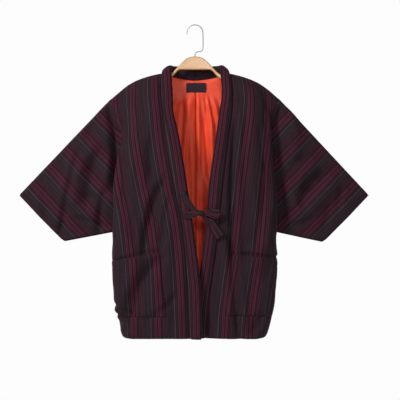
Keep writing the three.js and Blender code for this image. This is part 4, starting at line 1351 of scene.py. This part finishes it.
bmesh.ops.scale(shape, verts=shape.verts, vec=(MM, MM, MM))
piece = new_piece("coat_knot", shape, [cotton], "knot")
print(piece.name, "is", 2 * knot["half"][0], "mm wide")

# %% [markdown]
# ## The label
# A small bare woven label is sewn to the lining below the neck. It is a strip of ribbed tape, which bulges
# a little between its ends. It leans back as the plain solid under it does, so its front is read from that.

# %% Label
label = {"x": 3, "top": -165, "width": 58, "height": 28, "bulge": 0.8, "thick": 0.7}
LABEL_ROWS, LABEL_COLUMNS, LABEL_AHEAD = 15, 31, 1
cad_label = frame["nodes"]["label"]
label_ys = [(cad_label.matrix_world @ Vector(corner)).y / MM for corner in cad_label.bound_box]
label_front, label_back = min(label_ys), max(label_ys)
down, way = np.meshgrid(np.linspace(0, 1, LABEL_ROWS), np.linspace(-1, 1, LABEL_COLUMNS), indexing="ij")
grid = np.empty((LABEL_ROWS, LABEL_COLUMNS, 3))
grid[..., 0] = label["x"] + way * label["width"] / 2
grid[..., 1] = label_back + (label_front - label_back) * (1 - down)
grid[..., 1] -= label["bulge"] * (1 - way**4) * np.sin(np.pi * down) + LABEL_AHEAD
grid[..., 2] = label["top"] - down * label["height"]
weave = weave_map(way * label["width"] / 2, down * label["height"])
shape = grid_shape(grid, weave, "right", np.broadcast_to((0, -1.0, 0), grid.shape))
piece = new_piece("coat_label", shape, [tape, tape], "label")
give_wall(piece, label["thick"])
print(piece.name, label["width"], "by", label["height"], "mm, bare")

# %% [markdown]
# ## The label's stitches
# The label is caught down at both ends by five short stitches, each a small lengthened bead of thread.

# %% Label stitches
STITCHES, STITCH_INSET, STITCH_MARGIN, STITCH_AHEAD = 5, 1.2, 2, 1.6
STITCH_HALF = (1.6, 0.35, 0.35)
shape = bmesh.new()
for way in (-1, 1):
    for step in range(STITCHES):
        below = STITCH_MARGIN + step * (label["height"] - 2 * STITCH_MARGIN) / (STITCHES - 1)
        x = label["x"] + way * (label["width"] / 2 - STITCH_INSET)
        y = label_front - STITCH_AHEAD + (label_back - label_front) * below / label["height"]
        made = bmesh.ops.create_uvsphere(shape, u_segments=10, v_segments=6, radius=1)
        bmesh.ops.scale(shape, verts=made["verts"], vec=STITCH_HALF)
        bmesh.ops.translate(shape, verts=made["verts"], vec=(x, y, label["top"] - below))
sort_faces(shape)
bmesh.ops.scale(shape, verts=shape.verts, vec=(MM, MM, MM))
piece = new_piece("label_stitches", shape, [stitching])
print(piece.name, "at each end:", STITCHES)

# %% [markdown]
# ## The outline of the hanger
# The hanger is one flat piece of beech, sawn to a curve. Seen from the front, half of it is a hump in the
# middle, an arm just under the cloth of the shoulder, a round tip and the underside. A smooth line runs
# through those points and is mirrored. The arm is worked out from the shoulder line, so it always fits.

# %% Hanger outline
PLANK = {"deep": 12, "round": 3.2, "arm_starts": 121, "arm_ends": 181, "arm_high": 12, "gap": 1.2}
ARM_STEP, TIP_REACH, OUTLINE_POINTS = 12, 3, 260
hump = table(
    "x z", (0, -90), (18, -93.5), (35, -105), (46, -116.5), (56, -127), (67, -138), (84, -148), (104, -153),
)
underside = table(
    "x z", (152, -177), (120, -168), (90, -163), (74, -156), (61, -145), (50, -133), (44, -129.5),
)


def arm_point(out):
    """A point on top of the arm, which lies just under the cloth of the shoulder."""
    slope = float(shoulder_z(out + 1) - shoulder_z(out - 1)) / 2
    inwards = (WALL + PLANK["gap"]) / math.hypot(slope, 1)
    return {"x": out + slope * inwards, "z": float(shoulder_z(out)) - inwards}


arm = [arm_point(out) for out in range(PLANK["arm_starts"], PLANK["arm_ends"] + 1, ARM_STEP)]
tip = arm[-1]
half = [*hump, *arm, {"x": tip["x"] + TIP_REACH, "z": tip["z"] - PLANK["arm_high"] / 2}]
half += [{"x": tip["x"] - TIP_REACH, "z": tip["z"] - PLANK["arm_high"]}, *underside]
whole = half + [{"x": -p["x"], "z": p["z"]} for p in reversed(half)]
steps = [math.hypot(b["x"] - a["x"], b["z"] - a["z"]) for a, b in zip(whole, whole[1:])]
walked = np.concatenate([[0], np.cumsum(steps)])
at = np.linspace(0, walked[-1], OUTLINE_POINTS, endpoint=False)
outline = np.stack([through(walked, [p[axis] for p in whole], at) for axis in ("x", "z")], axis=1)
print("arm tip", round(tip["x"]), "mm from the middle, outline", round(float(walked[-1])), "mm long")

# %% [markdown]
# ## The plank and its hook
# The edges of the plank are rounded over by a router. Filling the outline, extruding and bevelling it
# would do the same, but the bevel tears where the outline turns tightly. So its rounded section is carried
# round the outline, and both flat faces are filled. The hook is the plain solid's own wire, in steel.

# %% Hanger
ROUND_STEPS, FACE_INSET = 6, 0.4
run = np.roll(outline, -1, axis=0) - np.roll(outline, 1, axis=0)
run /= np.linalg.norm(run, axis=1, keepdims=True)
inwards = np.stack([run[:, 1], -run[:, 0]], axis=1)

radius, half_deep = PLANK["round"], PLANK["deep"] / 2
section = [(radius + FACE_INSET, half_deep, 1.0)]
for turn in np.linspace(0, math.pi / 2, ROUND_STEPS + 1):
    section.append((radius * (1 - math.sin(turn)), half_deep - radius * (1 - math.cos(turn)), math.cos(turn)))
section = [(inset, -y, -face) for inset, y, face in section] + section[::-1]
grid = np.empty((len(section), OUTLINE_POINTS + 1, 3))
outwards = np.empty_like(grid)
for j, (inset, y, face) in enumerate(section):
    line = outline + inwards * inset
    side_on = -inwards * math.sqrt(1 - face**2)
    grid[j, :-1] = np.insert(line, 1, y, axis=1)
    outwards[j, :-1] = np.insert(side_on, 1, face, axis=1)
grid[:, -1], outwards[:, -1] = grid[:, 0], outwards[:, 0]
shape = grid_shape(grid, grid[..., (0, 2)] * MM, "right", outwards, closed=True, caps=True)
bmesh.ops.triangulate(shape, faces=[face for face in shape.faces if len(face.verts) > 4])
piece = new_piece("hanger_plank", shape, [beech], "hanger_wood")

hook = frame["nodes"]["hanger_hook"].data
hook.materials.clear()
hook.materials.append(steel)
print(piece.name, "has", len(piece.data.polygons), "faces")

# %% [markdown]
# ## The end
